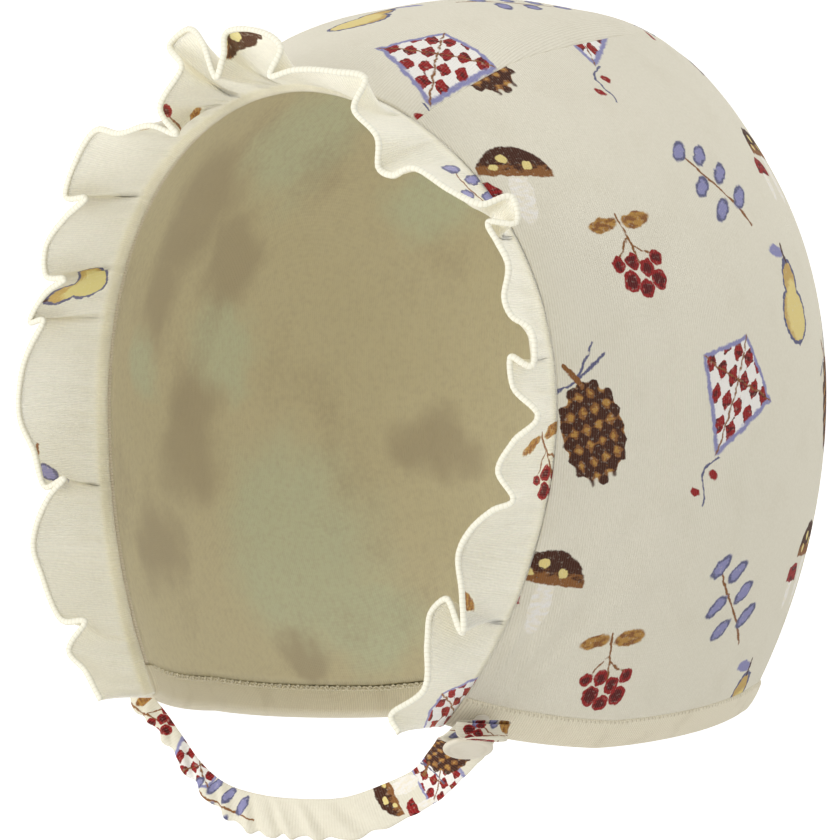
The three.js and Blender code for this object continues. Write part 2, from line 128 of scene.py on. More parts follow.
def table_curve(rows: Sequence[Sequence[float]], at: Number, column: int) -> Array:
    """Reads a smooth curve through a short table.

    Between two rows it is the cubic whose slope at each row is that of the line between the
    rows on either side of it.

    Args:
        rows: The table, whose first column is the place.
        at: Where it is read.
        column: Which column is read.

    Returns:
        The values there.
    """
    table = np.array(rows, float)
    place, value = table[:, 0], table[:, column]
    slope = np.empty(len(place))
    slope[1:-1] = (value[2:] - value[:-2]) / (place[2:] - place[:-2])
    slope[0] = (value[1] - value[0]) / (place[1] - place[0])
    slope[-1] = (value[-1] - value[-2]) / (place[-1] - place[-2])
    at = np.asarray(at, float)
    low = np.clip(np.searchsorted(place, at, side="left") - 1, 0, len(place) - 2)
    span = place[low + 1] - place[low]
    t = (at - place[low]) / span
    rise = value[low + 1] - value[low]
    ease = t * t * (3 - 2 * t)
    start = slope[low] * span * t * (1 - t) ** 2
    end = slope[low + 1] * span * t * t * (1 - t)
    return value[low] + rise * ease + start - end


@dataclass
class ThreadLine:
    """A smooth open curve through given points, which never loops between them.

    Each stretch is the cubic whose speed goes with the square root of the distance between its
    points. It can be read by share of its rows or by share of its length.
    """

    knots: Array
    divisions: int = 3000
    lengths: Array = field(init=False)
    shares: Array = field(init=False)

    def __post_init__(self) -> None:
        """Measures the curve once."""
        self.shares = np.linspace(0, 1, self.divisions + 1)
        self.lengths = run_along(self.by_row(self.shares))

    def by_row(self, share: Array) -> Array:
        """Points by share of the rows, 0 at the first and 1 at the last."""
        ends = 2 * self.knots[[0, -1]] - self.knots[[1, -2]]
        knots = np.vstack([ends[:1], self.knots, ends[1:]])
        place = np.clip(np.asarray(share, float), 0, 1) * (len(self.knots) - 1)
        row = np.minimum(place.astype(int), len(self.knots) - 2)
        t = (place - row)[..., None]
        p0, p1, p2, p3 = (knots[row + k] for k in range(4))
        gap = [np.maximum(np.linalg.norm(b - a, axis=-1, keepdims=True) ** 0.5, 1e-6)
               for a, b in ((p0, p1), (p1, p2), (p2, p3))]
        leave = (p1 - p0) / gap[0] - (p2 - p0) / (gap[0] + gap[1]) + (p2 - p1) / gap[1]
        arrive = (p2 - p1) / gap[1] - (p3 - p1) / (gap[1] + gap[2]) + (p3 - p2) / gap[2]
        leave, arrive = leave * gap[1], arrive * gap[1]
        second = 3 * (p2 - p1) - 2 * leave - arrive
        third = 2 * (p1 - p2) + leave + arrive
        return p1 + t * (leave + t * (second + t * third))

    def by_length(self, share: Array) -> Array:
        """Points by share of the length, 0 at the start and 1 at the end."""
        return self.by_row(np.interp(share * self.lengths[-1], self.lengths, self.shares))


def edged(count: int, length: float, near: float = 0.6) -> Array:
    """Places from 0 to 1 with more of them beside both ends, where an edge is rounded.

    Args:
        count: How many even stretches there are between the ends.
        length: The length in millimetres that 0 to 1 stands for.
        near: How far in the extra places reach, in millimetres.

    Returns:
        The places in rising order.
    """
    extra = np.array([0, 0.04, 0.16, 0.4, 0.7]) * near / length
    even = np.linspace(near / length, 1 - near / length, count)
    return np.concatenate([extra, even, 1 - extra[::-1]])


def rolled(distance: Array, radius: float) -> Array:
    """How far a face drops beside an edge that is turned over with a radius.

    The drop is the radius less the height of a quarter circle at that distance.
    """
    inside = np.clip(radius - distance, 0, radius)
    return radius - np.sqrt(np.maximum(radius**2 - inside**2, 0))


def ripple(place: Array, waves: Sequence[tuple[float, float, float]]) -> Array:
    """A sum of sines, each given by its length, its height and its start as a share of a turn."""
    return sum(height * np.sin(TURN * (place / long + start)) for long, height, start in waves)


def bell(distance: Array, width: float) -> Array:
    """A soft ridge: 1 in the middle, falling to about a third at its width."""
    return np.exp(-((distance / width) ** 2))


def eased(value: Array, low: float, high: float) -> Array:
    """A soft step from 0 at one value to 1 at another: three squares less two cubes."""
    share = np.clip((value - low) / (high - low), 0, 1)
    return share * share * (3 - 2 * share)


# Meshes


@dataclass
class Skin:
    """Points in millimetres, faces of four corners and the cloth's map at each corner."""

    points: Array
    faces: Array
    cloth: Array

    def turned_out(self) -> "Skin":
        """The same closed skin with its faces pointing outward, from the sign of its volume."""
        a, b, c, d = (self.points[self.faces[:, k]] for k in range(4))
        volume = float((a * np.cross(b, c)).sum() + (a * np.cross(c, d)).sum())
        if volume > 0:
            return self
        return Skin(self.points, self.faces[:, ::-1], self.cloth[:, ::-1])

    def joined(self, other: "Skin") -> "Skin":
        """This skin and another as one."""
        return Skin(
            np.vstack([self.points, other.points]),
            np.vstack([self.faces, other.faces + len(self.points)]),
            np.vstack([self.cloth, other.cloth]),
        )


def cells(index: Array) -> Array:
    """The four-cornered faces between neighbours of a grid of point numbers."""
    corners = (index[:-1, :-1], index[:-1, 1:], index[1:, 1:], index[1:, :-1])
    return np.stack([c.ravel() for c in corners], axis=1)


def cloth_map(run: Array, way: Array) -> Array:
    """The map by row and column from the rows' run and the way across them, in millimetres."""
    return np.stack(np.broadcast_arrays(run[:, None], way), axis=-1)


def ring_map(rings: Array) -> Array:
    """The map of a tube: the run along its rings and the way round each.

    Args:
        rings: Points by ring and by place round it.

    Returns:
        The map, with the first place again at the end of each ring.
    """
    closed = np.concatenate([rings, rings[:, :1]], axis=1)
    steps = np.linalg.norm(np.diff(closed, axis=1), axis=2)
    way = np.concatenate([np.zeros((len(rings), 1)), np.cumsum(steps, axis=1)], axis=1)
    return cloth_map(run_along(rings.mean(axis=1)), way)


def tube_skin(rings: Array, cloth: Array) -> Skin:
    """A closed skin through rings of points, with a fan at each end.

    Args:
        rings: Points by ring and by place round it, without the first place again at its end.
        cloth: The map there, with the first place again at the end of each ring.

    Returns:
        The skin, whose end fans meet in the middle of the end rings.
    """
    count, size = rings.shape[:2]
    own = np.arange(count * size).reshape(count, size)
    index = np.hstack([own, own[:, :1]])
    corner = np.arange(count * (size + 1)).reshape(count, size + 1)
    faces, at = cells(index), cells(corner)
    maps = cloth.reshape(-1, 2)[at]
    middles = np.stack([rings[0].mean(axis=0), rings[-1].mean(axis=0)])
    fans, fan_maps = [], []
    for end, ring in ((0, index[0]), (1, index[-1][::-1])):
        hub = np.full(size, count * size + end)
        fans.append(np.stack([ring[1:], ring[:-1], hub, hub], axis=1))
        fan_maps.append(np.broadcast_to(cloth[-end].mean(axis=0), (size, 4, 2)))
    points = np.vstack([rings.reshape(-1, 3), middles])
    return Skin(points, np.vstack([faces, *fans]), np.vstack([maps, *fan_maps])).turned_out()


def wall_skin(front: Array, back: Array, cloth: Array) -> Skin:
    """A closed skin from the two faces of one cloth, joined round its four edges.

    Args:
        front, back: Points of the two faces, by row and column.
        cloth: The map of both faces.

    Returns:
        The closed skin.
    """
    rows, columns = front.shape[:2]
    index = np.arange(rows * columns).reshape(rows, columns)
    faces = cells(index)
    loop = np.concatenate([index[0], index[1:, -1], index[-1, -2::-1], index[-2:0:-1, 0]])
    after, count = np.roll(loop, -1), rows * columns
    rim = np.stack([after, loop, loop + count, after + count], axis=1)
    maps = np.tile(cloth.reshape(-1, 2), (2, 1))
    every = np.vstack([faces, faces[:, ::-1] + count, rim])
    points = np.vstack([front.reshape(-1, 3), back.reshape(-1, 3)])
    return Skin(points, every, maps[every]).turned_out()


def welded_wall(sheets: Sequence[tuple[Array, Array]], inward: Callable[[Array], Array]) -> Skin:
    """A closed wall from sheets that share edges.

    Args:
        sheets: For each sheet its grid of points and the map there.
        inward: Gives the wall's other face for an array of points.

    Returns:
        The closed skin, with one point wherever sheets meet.
    """
    points = np.vstack([grid.reshape(-1, 3) for grid, _ in sheets])
    maps = np.vstack([cloth.reshape(-1, 2) for _, cloth in sheets])
    starts = np.cumsum([0] + [grid.shape[0] * grid.shape[1] for grid, _ in sheets])
    index = [np.arange(start, start + grid.shape[0] * grid.shape[1]).reshape(grid.shape[:2])
             for start, (grid, _) in zip(starts, sheets)]
    faces = np.vstack([cells(grid) for grid in index])
    _, first, same = np.unique(np.round(points, 3), axis=0, return_index=True, return_inverse=True)
    same = same.reshape(-1)
    front, joined = points[first], same[faces]
    starts_at, ends_at = joined.ravel(), np.roll(joined, -1, axis=1).ravel()
    count = len(front)
    forward, backward = starts_at * count + ends_at, ends_at * count + starts_at
    open_edge = ~np.isin(forward, backward)
    a, b = starts_at[open_edge], ends_at[open_edge]
    rim = np.stack([b, a, a + count, b + count], axis=1)
    rim_maps = np.repeat(maps[faces.ravel()[open_edge]][:, None], 4, axis=1)
    every = np.vstack([joined, joined[:, ::-1] + count, rim])
    cloth = np.vstack([maps[faces], maps[faces][:, ::-1], rim_maps])
    return Skin(np.vstack([front, inward(front)]), every, cloth).turned_out()


def place_piece(name: str, skin: Skin, finish: bpy.types.Material) -> bpy.types.Object:
    """Puts a skin into the scene as one smooth piece in metres, with its finish.

    Args:
        name: The piece's name.
        skin: Its points, faces and cloth map.
        finish: Its material.

    Returns:
        The new object, at the origin.
    """
    mesh = bpy.data.meshes.new(name)
    places = (skin.points - (0, 0, SEAT_Z)) / PER_METRE
    hub = skin.faces[:, 2] == skin.faces[:, 3]
    sizes = np.where(hub, 3, 4)
    starts = np.concatenate([[0], np.cumsum(sizes)[:-1]])
    used = np.ones(skin.faces.shape, bool)
    used[hub, 3] = False
    mesh.vertices.add(len(places))
    mesh.vertices.foreach_set("co", places.astype(np.float32).ravel())
    mesh.loops.add(int(sizes.sum()))
    mesh.loops.foreach_set("vertex_index", skin.faces[used].astype(np.int32))
    mesh.polygons.add(len(sizes))
    mesh.polygons.foreach_set("loop_start", starts.astype(np.int32))
    mesh.update(calc_edges=True)
    mesh.polygons.foreach_set("use_smooth", np.ones(len(sizes), bool))
    layer = mesh.uv_layers.new(name=CLOTH_MAP)
    layer.data.foreach_set("uv", skin.cloth[used].astype(np.float32).ravel())
    mesh.validate()
    mesh.materials.append(finish)
    piece = bpy.data.objects.new(name, mesh)
    bpy.context.collection.objects.link(piece)
    return piece


# The head's form and the lines on it


@dataclass(frozen=True)
class HeadForm:
    """The outer surface of the crown and the lines that are drawn on it.

    It is a rounded box about the head's middle: in plan a curve between an ellipse and a
    rectangle, and so from the side, by the two powers. A low ridge runs along each of the two
    crown seams. Points are in millimetres.
    """

    half_width: float = 66.0
    front: float = 105.0
    back: float = 80.5
    crown: float = 84.4
    nape: float = 99.0
    plan_power: float = 1.85
    side_power: float = 2.08
    taper: float = 0.096
    swell: float = 0.079
    ridge_share: float = 0.054
    ridge_x: float = 27.8
    ridge_spread: float = 9.4
    ridge_full_z: float = 60.0
    ridge_start_y: float = -60.0
    ridge_full_y: float = -30.0
    face_y: float = -57.3
    face_slope: float = 0.075
    face_bow: float = 0.00204
    face_middle: float = 8.0
    neck_front_y: float = -66.1
    neck_front_z: float = -51.0
    neck_fall: float = 13.0
    neck_reach: float = 38.0
    neck_lean: float = 0.09
    lean_from: float = 36.0
    lean_over: float = 55.0
    far: float = 110.0
    far_slice: float = 140.0

    def level(self, points: Array) -> Array:
        """Below zero inside the surface.

        It is the two powers' sum of the three shares, less 1 and less the seams' ridge.
        """
        x, y, z = points[..., 0], points[..., 1], points[..., 2]
        height = z / 100
        width = self.half_width * (1 + self.taper * height - self.swell * height**2)
        length = np.where(y < 0, self.front, self.back)
        rise = np.where(z < 0, self.nape, self.crown)
        plan = (np.abs(x) / width) ** self.plan_power + (np.abs(y) / length) ** self.plan_power
        ridge = self.ridge_share * bell(np.abs(x) - self.ridge_x, self.ridge_spread)
        ridge = ridge * eased(z, 0, self.ridge_full_z)
        ridge = ridge * eased(y, self.ridge_start_y, self.ridge_full_y)
        upright = (np.abs(z) / rise) ** self.side_power
        return plan ** (self.side_power / self.plan_power) + upright - 1 - ridge

    def outward(self, points: Array) -> Array:
        """Unit normals of the surface, from the slope of the level."""
        slope = [self.level(points + step) - self.level(points - step) for step in np.eye(3) * 0.05]
        return unit(np.stack(slope, axis=-1))

    def onto(self, points: Array) -> Array:
        """Points of the surface in the same directions from the middle."""
        shape = points.shape[:-1]
        ends = np.full(shape, 0.2), np.full(shape, 3.0)
        scale = crossing(lambda s: self.level(points * s[..., None]), *ends)
        return points * scale[..., None]

    def along_rays(self, place: Callable[[Array], Array], shape: tuple[int, ...],
                   far: Optional[float] = None) -> Array:
        """Finds where rays leave the surface.

        Args:
            place: Gives the points at given distances along the rays.
            shape: The shape of the array of rays.
            far: A distance that is outside on each ray.

        Returns:
            The points there.
        """
        ends = np.full(shape, far or self.far)
        return place(crossing(lambda r: self.level(place(r)), np.zeros(shape), ends))

    def face_edge_y(self, z: Array) -> Array:
        """Place of the face edge along Y, by height."""
        return self.face_y + self.face_slope * z - self.face_bow * z * z

    def neck_edge_z(self, x: Array, y: Array) -> Array:
        """Height of the neck edge: it falls quickly behind the front, and leans at the nape."""
        behind = np.maximum(0, y - self.neck_front_y)
        leaning = np.clip((behind - self.lean_from) / self.lean_over, 0, 1)
        fallen = self.neck_fall * (1 - np.exp(-behind / self.neck_reach))
        return self.neck_front_z - fallen + self.neck_lean * x * leaning

    def face_point(self, angle: Number, back: Number = 0.0) -> Array:
        """Points near the face edge, by the angle from straight up and how far behind it."""
        angle, back = np.broadcast_arrays(np.asarray(angle, float), np.asarray(back, float))
        sine, cosine = np.sin(angle), np.cos(angle)

        def place(r: Array) -> Array:
            """Points at distances from the middle in the face's own sheet."""
            return np.stack([r * sine, self.face_edge_y(r * cosine) + back, r * cosine], axis=-1)

        return self.along_rays(place, angle.shape)

    def neck_point(self, plan: Number, rise: Number = 0.0) -> Array:
        """Points above the neck edge, by the angle from the nape to the wearer's left."""
        plan, rise = np.broadcast_arrays(np.asarray(plan, float), np.asarray(rise, float))
        sine, cosine = np.sin(plan), np.cos(plan)

        def place(r: Array) -> Array:
            """Points at distances from the middle in the neck edge's own sheet."""
            x, y = r * sine, r * cosine
            return np.stack([x, y, self.neck_edge_z(x, y) + rise], axis=-1)

        return self.along_rays(place, plan.shape)

    def corner_angle(self, side: int, rise: Number, back: float = 0.0) -> Array:
        """The face edge's angle where it meets a line above the neck edge."""
        rise = np.asarray(rise, float)

        def below(angle: Array) -> Array:
            """How far the face edge is below the line."""
            place = self.face_point(side * angle, back)
            return self.neck_edge_z(place[..., 0], place[..., 1]) + rise - place[..., 2]

        low, high = np.full(rise.shape, math.radians(100)), np.full(rise.shape, math.radians(175))
        return side * crossing(below, low, high)

    def slice_point(self, x: Array, turn: Array) -> Array:
        """Points of the surface in slices of constant x, by their direction in the slice."""
        x, turn = np.broadcast_arrays(x, turn)

        def place(r: Array) -> Array:
            """Points at distances from the slice's middle."""
            return np.stack([x, r * np.cos(turn), r * np.sin(turn)], axis=-1)

        return self.along_rays(place, x.shape, self.far_slice)


@dataclass(frozen=True)
class Extent:
    """How far a cloth of the crown stops above the neck edge and behind the face edge."""

    rise: float
    back: float


@dataclass(frozen=True)
class CrownCut:
    """The cut of the crown: a centre panel over the head and a side panel at each ear.

    The centre panel is made of slices of constant x. A side panel is blended from its four
    edges: the seam over the crown, the seam down the back, the neck and the face.
    """

    form: HeadForm
    half_widths: tuple[tuple[float, float], ...] = (
        (0.0, 24.2), (0.1, 29.8), (0.2, 32.4), (0.3, 31.2), (0.5, 28.0), (0.75, 25.0), (1.0, 22.0),
    )

    def slice_ends(self, x: Array, extent: Extent) -> tuple[Array, Array]:
        """Directions of a slice's front and lower ends, read from a row of measured slices."""
        rows = np.linspace(-36, 36, 73)

        def front_level(z: Array) -> Array:
            """Level of the surface at the face edge, by height."""
            y = self.form.face_edge_y(z) + extent.back
            return self.form.level(np.stack([rows, y, z], axis=-1))

        def under(fall: Array) -> Array:
            """How far the slice is below the neck line at a direction."""
            place = self.form.slice_point(rows, -fall)
            return self.form.neck_edge_z(rows, place[..., 1]) + extent.rise - place[..., 2]

        top = crossing(front_level, np.zeros(rows.shape), np.full(rows.shape, 100.0))
        start = np.arctan2(top, self.form.face_edge_y(top) + extent.back)
        end = -crossing(under, np.zeros(rows.shape), np.full(rows.shape, math.pi / 2))
        return np.interp(x, rows, start), np.interp(x, rows, end)

    def on_slice(self, x: Array, along: Array, extent: Extent) -> Array:
        """Points of a slice, from the face at 0 to the neck at 1."""
        start, end = self.slice_ends(x, extent)
        return self.form.slice_point(x, start + (end - start) * along)

    def seam(self, side: int, along: Array, shift: float, extent: Extent) -> Array:
        """Points of the seam beside the centre panel, moved a little outward."""
        x = side * (table_curve(self.half_widths, along, 1) + shift)
        return self.on_slice(x, along, extent)

    def centre(self, across: Array, along: Array, shift: float, extent: Extent) -> Array:
        """The centre panel's grid, with a row for each place along and a column across."""
        share, place = np.meshgrid(across, along)
        x = (2 * share - 1) * (table_curve(self.half_widths, place, 1) + shift)
        return self.on_slice(x, place, extent)

    def side(self, side: int, across: Array, upward: Array, shift: float, extent: Extent) -> Array:
        """A side panel's grid: rows from the neck up, columns from the face to the back.

        Each point is the two blends between facing edges, less the blend of the four corners,
        carried onto the head's form.
        """
        face_top = self.seam(side, np.array(0.0), shift, extent)
        top_angle = math.atan2(face_top[0], face_top[2])
        low_angle = float(self.form.corner_angle(side, extent.rise, extent.back))
        low_front = self.form.face_point(low_angle, extent.back)
        low_back = self.seam(side, np.array(1.0), shift, extent)
        plans = [math.atan2(p[0], p[1]) for p in (low_front, low_back)]
        low = self.form.neck_point(plans[0] + (plans[1] - plans[0]) * across, extent.rise)
        top = self.seam(side, across / 2, shift, extent)
        front = self.form.face_point(low_angle + (top_angle - low_angle) * upward, extent.back)
        rear = self.seam(side, 1 - upward / 2, shift, extent)
        u, v = across[None, :, None], upward[:, None, None]
        lengthwise = low[None] * (1 - v) + top[None] * v
        upright = front[:, None] * (1 - u) + rear[:, None] * u
        corners = (low[0] * (1 - u) + low[-1] * u) * (1 - v) + (top[0] * (1 - u) + top[-1] * u) * v
        return self.form.onto(lengthwise + upright - corners)


@dataclass
class FaceEdge:
    """The face edge by its length, from the right corner over the forehead to the left one."""

    form: HeadForm
    divisions: int = 1600
    places: Array = field(init=False)
    lengths: Array = field(init=False)

    def __post_init__(self) -> None:
        """Lays the edge out once as a fine row of points."""
        ends = [float(self.form.corner_angle(side, 0.0)) for side in (-1, 1)]
        self.places = self.form.face_point(np.linspace(*ends, self.divisions + 1))
        self.lengths = run_along(self.places)

    def at(self, distance: Array) -> tuple[Array, Array, Array, Array]:
        """Points of the edge with their directions.

        Args:
            distance: How far along the edge they are.

        Returns:
            The points and the directions along the edge, outward and forward.
        """
        def read(run: Array) -> Array:
            """Points by run."""
            return np.stack([np.interp(run, self.lengths, part) for part in self.places.T], axis=-1)

        end = self.lengths[-1]
        place = read(np.clip(distance, 0, end))
        near = np.clip(distance, 0.5, end - 0.5)
        along = unit(read(near + 0.5) - read(near - 0.5))
        outward = place * (1, 0, 1) - (0, 0, self.form.face_middle)
        outward = unit(outward - (outward * along).sum(-1, keepdims=True) * along)
        return place, along, outward, np.cross(along, outward)


# Shader expressions


class Wire:
    """A number that changes over a surface. Its operators add Math nodes to its board."""

    def __init__(self, board: "Board", socket: bpy.types.NodeSocket) -> None:
        """Holds a socket of a board."""
        self.board = board
        self.socket = socket

    def __add__(self, other: "Term") -> "Wire":
        """The sum."""
        return self.board.math("ADD", self, other)

    def __sub__(self, other: "Term") -> "Wire":
        """The difference."""
        return self.board.math("SUBTRACT", self, other)

    def __rsub__(self, other: "Term") -> "Wire":
        """The difference the other way round."""
        return self.board.math("SUBTRACT", other, self)

    def __mul__(self, other: "Term") -> "Wire":
        """The product."""
        return self.board.math("MULTIPLY", self, other)

    def __abs__(self) -> "Wire":
        """Its size without its sign."""
        return self.board.math("ABSOLUTE", self)

    def fraction(self) -> "Wire":
        """What is over the whole number below it."""
        return self.board.math("FRACT", self)

    def sine(self) -> "Wire":
        """Its sine."""
        return self.board.math("SINE", self)

    def least(self, other: "Term") -> "Wire":
        """The smaller of two."""
        return self.board.math("MINIMUM", self, other)

    def most(self, other: "Term") -> "Wire":
        """The larger of two."""
        return self.board.math("MAXIMUM", self, other)

    def step(self, low: float, high: float) -> "Wire":
        """A soft step from 0 at one value to 1 at another."""
        ends = {"Value": self, "From Min": low, "From Max": high}
        return self.board.out("ShaderNodeMapRange", {"interpolation_type": "SMOOTHSTEP"}, ends)


Term = Union[Wire, float]
Paint = Union[Wire, Colour]


class Board:
    """The nodes of one material, with its surface shader ready."""

    def __init__(self, name: str, **surface: Union[float, Colour]) -> None:
        """Makes a material whose surface has constant settings.

        Args:
            name: The material's name.
            surface: Values of the surface's sockets, with _ for the spaces in their names.
        """
        self.material = bpy.data.materials.new(name)
        self.material.use_nodes = True
        self.tree = self.material.node_tree
        self.surface = self.tree.nodes["Principled BSDF"]
        for socket, value in surface.items():
            self.put(self.surface.inputs[socket.replace("_", " ")], value)

    def put(self, socket: bpy.types.NodeSocket, value: Union[Term, Paint]) -> None:
        """Sets a socket to a value or links a wire to it."""
        if isinstance(value, Wire):
            self.tree.links.new(value.socket, socket)
        elif isinstance(value, tuple) and socket.type == "RGBA":
            socket.default_value = (*value, 1.0)
        else:
            socket.default_value = value

    def node(self, kind: str, settings: dict, inputs: dict) -> bpy.types.Node:
        """Adds a node.

        Args:
            kind: Its type.
            settings: Its own settings, which are set first.
            inputs: Values or wires by socket name or number.

        Returns:
            The node.
        """
        made = self.tree.nodes.new(kind)
        for name, value in settings.items():
            setattr(made, name, value)
        for name, value in inputs.items():
            self.put(made.inputs[name], value)
        return made

    def out(self, kind: str, settings: dict, inputs: dict, name: Union[str, int] = 0) -> Wire:
        """Adds a node and gives one of its outputs."""
        return Wire(self, self.node(kind, settings, inputs).outputs[name])

    def math(self, operation: str, *terms: Term) -> Wire:
        """One Math node."""
        return self.out("ShaderNodeMath", {"operation": operation}, dict(enumerate(terms)))

    def vector(self, operation: str, *terms: Union[Wire, tuple], name: str = "Vector") -> Wire:
        """One Vector Math node."""
        inputs = dict(enumerate(terms))
        return self.out("ShaderNodeVectorMath", {"operation": operation}, inputs, name)

    def scaled(self, vector: Union[Wire, tuple], scale: Term) -> Wire:
        """A vector made longer or shorter."""
        return self.out("ShaderNodeVectorMath", {"operation": "SCALE"}, {0: vector, "Scale": scale})

    def mix(self, under: Paint, over: Paint, share: Term) -> Wire:
        """One colour laid over another with a share from 0 to 1."""
        inputs = {"Factor": share, 6: under, 7: over}
        return self.out("ShaderNodeMix", {"data_type": "RGBA"}, inputs, 2)

    def cloth(self) -> Wire:
        """The piece's own map, in millimetres of cloth."""
        return self.out("ShaderNodeUVMap", {"uv_map": CLOTH_MAP}, {})

    def place(self) -> Wire:
        """Place in the object, in metres."""
        return self.out("ShaderNodeTexCoord", {}, {}, "Object")

    def split(self, place: Wire) -> tuple[Wire, Wire]:
        """The first two parts of a vector."""
        made = self.node("ShaderNodeSeparateXYZ", {}, {"Vector": place})
        return Wire(self, made.outputs[0]), Wire(self, made.outputs[1])

    def noise(self, place: Wire, scale: float, detail: float = 3.0, name: str = "Fac") -> Wire:
        """Soft random clouds about 0.5, of about 1 / scale across."""
        inputs = {"Vector": place, "Scale": scale, "Detail": detail}
        return self.out("ShaderNodeTexNoise", {}, inputs, name)

    def wandered(self, place: Wire, scale: float, reach: float) -> Wire:
        """A place moved by random vectors that change softly, of up to half a reach each way."""
        drift = self.vector("SUBTRACT", self.noise(place, scale, name="Color"), (0.5, 0.5, 0.5))
        return self.vector("ADD", place, self.scaled(drift, reach))

    def finish(self, colour: Paint, height: Optional[Wire] = None, depth_mm: float = 0.1,
               strength: float = 1.0) -> bpy.types.Material:
        """Feeds the surface its colour and relief.

        Args:
            colour: The surface's colour.
            height: Its relief from 0 to 1.
            depth_mm: What a relief of 1 stands for.
            strength: How much of the relief shows.

        Returns:
            The finished material.
        """
        self.put(self.surface.inputs["Base Color"], colour)
        if height is not None:
            inputs = {"Height": height, "Distance": depth_mm / PER_METRE, "Strength": strength}
            self.put(self.surface.inputs["Normal"], self.out("ShaderNodeBump", {}, inputs))
        return self.material


# Finishes


@dataclass(frozen=True)
class Knit:
    """Loops of a plain knit: wales side by side and courses along them, in millimetres."""

    wale: float = 0.56
    course: float = 0.47
    depth: float = 0.13
    legs: float = 0.1

    def height(self, board: Board, place: Wire) -> Wire:
        """Relief of the loops: upright wales, in which slanting legs meet once a course.

        A wale's top is 1 less the square of the distance from its middle over half its width.
        The legs are a small swell by the sine of the place along the wale and beside its middle.
        """
        x, y = board.split(place)
        side = abs((x * (1 / self.wale)).fraction() - 0.5) * 2.0
        legs = ((y * (1 / self.course) + side * 0.6) * TURN).sine()
        return (1.0 - side * side) * (legs * self.legs + (1.0 - self.legs))


class Motif(Enum):
    """The figures of the print, by the names of the functions that draw them."""

    KITE = "kite"
    CONE = "cone"
    PEAR = "pear"
    BERRIES = "berries"
    SPRIG = "sprig"
    MUSHROOM = "mushroom"


@dataclass(frozen=True)
class Stamp:
    """Where one figure of the print stands in its repeat, in millimetres and degrees."""

    motif: Motif
    x: float
    y: float
    turn: float = 0.0


@dataclass(frozen=True)
class Pen:
    """Draws the parts of one figure about its middle, as distances that are below zero inside."""

    board: Board
    at: Wire
    brush: Wire

    def ovals(self, *parts: Sequence[float]) -> Wire:
        """Draws some ovals: the length of the place over their radii, less 1.

        Args:
            parts: For each oval its middle's x and y and its two radii.

        Returns:
            About the distance outside the nearest of them.
        """
        drawn = []
        for x, y, rx, ry in parts:
            scale, shift = (1 / rx, 1 / ry, 0), (-x / rx, -y / ry, 0)
            over = self.board.vector("MULTIPLY_ADD", self.at, scale, shift)
            size = min(rx, ry)
            drawn.append(self.board.vector("LENGTH", over, name="Value") * size - size)
        return reduce(Wire.least, drawn)

    def strokes(self, *parts: Sequence[float]) -> Wire:
        """Draws some straight strokes with round ends.

        Args:
            parts: For each stroke its start's x and y, its end's x and y and half its width.

        Returns:
            The distance outside the nearest of them.
        """
        drawn, vector = [], self.board.vector
        for x, y, end_x, end_y, half in parts:
            run = (end_x - x, end_y - y, 0.0)
            size = run[0] ** 2 + run[1] ** 2
            from_start = vector("SUBTRACT", self.at, (x, y, 0.0))
            share = vector("DOT_PRODUCT", from_start, tuple(v / size for v in run), name="Value")
            nearest = self.board.scaled(run, share.most(0.0).least(1.0))
            drawn.append(vector("DISTANCE", from_start, nearest, name="Value") - half)
        return reduce(Wire.least, drawn)

    def lattice(self, across: float, upward: float) -> Wire:
        """Rows of lozenges: the product of two slanting sines."""
        x, y = self.board.split(self.at)
        return (x * across + y * upward).sine() * (x * across - y * upward).sine()

    def rough(self, reach: float) -> Wire:
        """The brush's uneven marks about zero, with a reach."""
        return (self.brush - 0.5) * reach

    def paint(self, under: Paint, ink: Paint, distance: Wire, soft: float = 0.15) -> Wire:
        """An ink laid over a colour where a distance is below zero, with a soft edge."""
        return self.board.mix(under, ink, distance.step(soft, -soft))


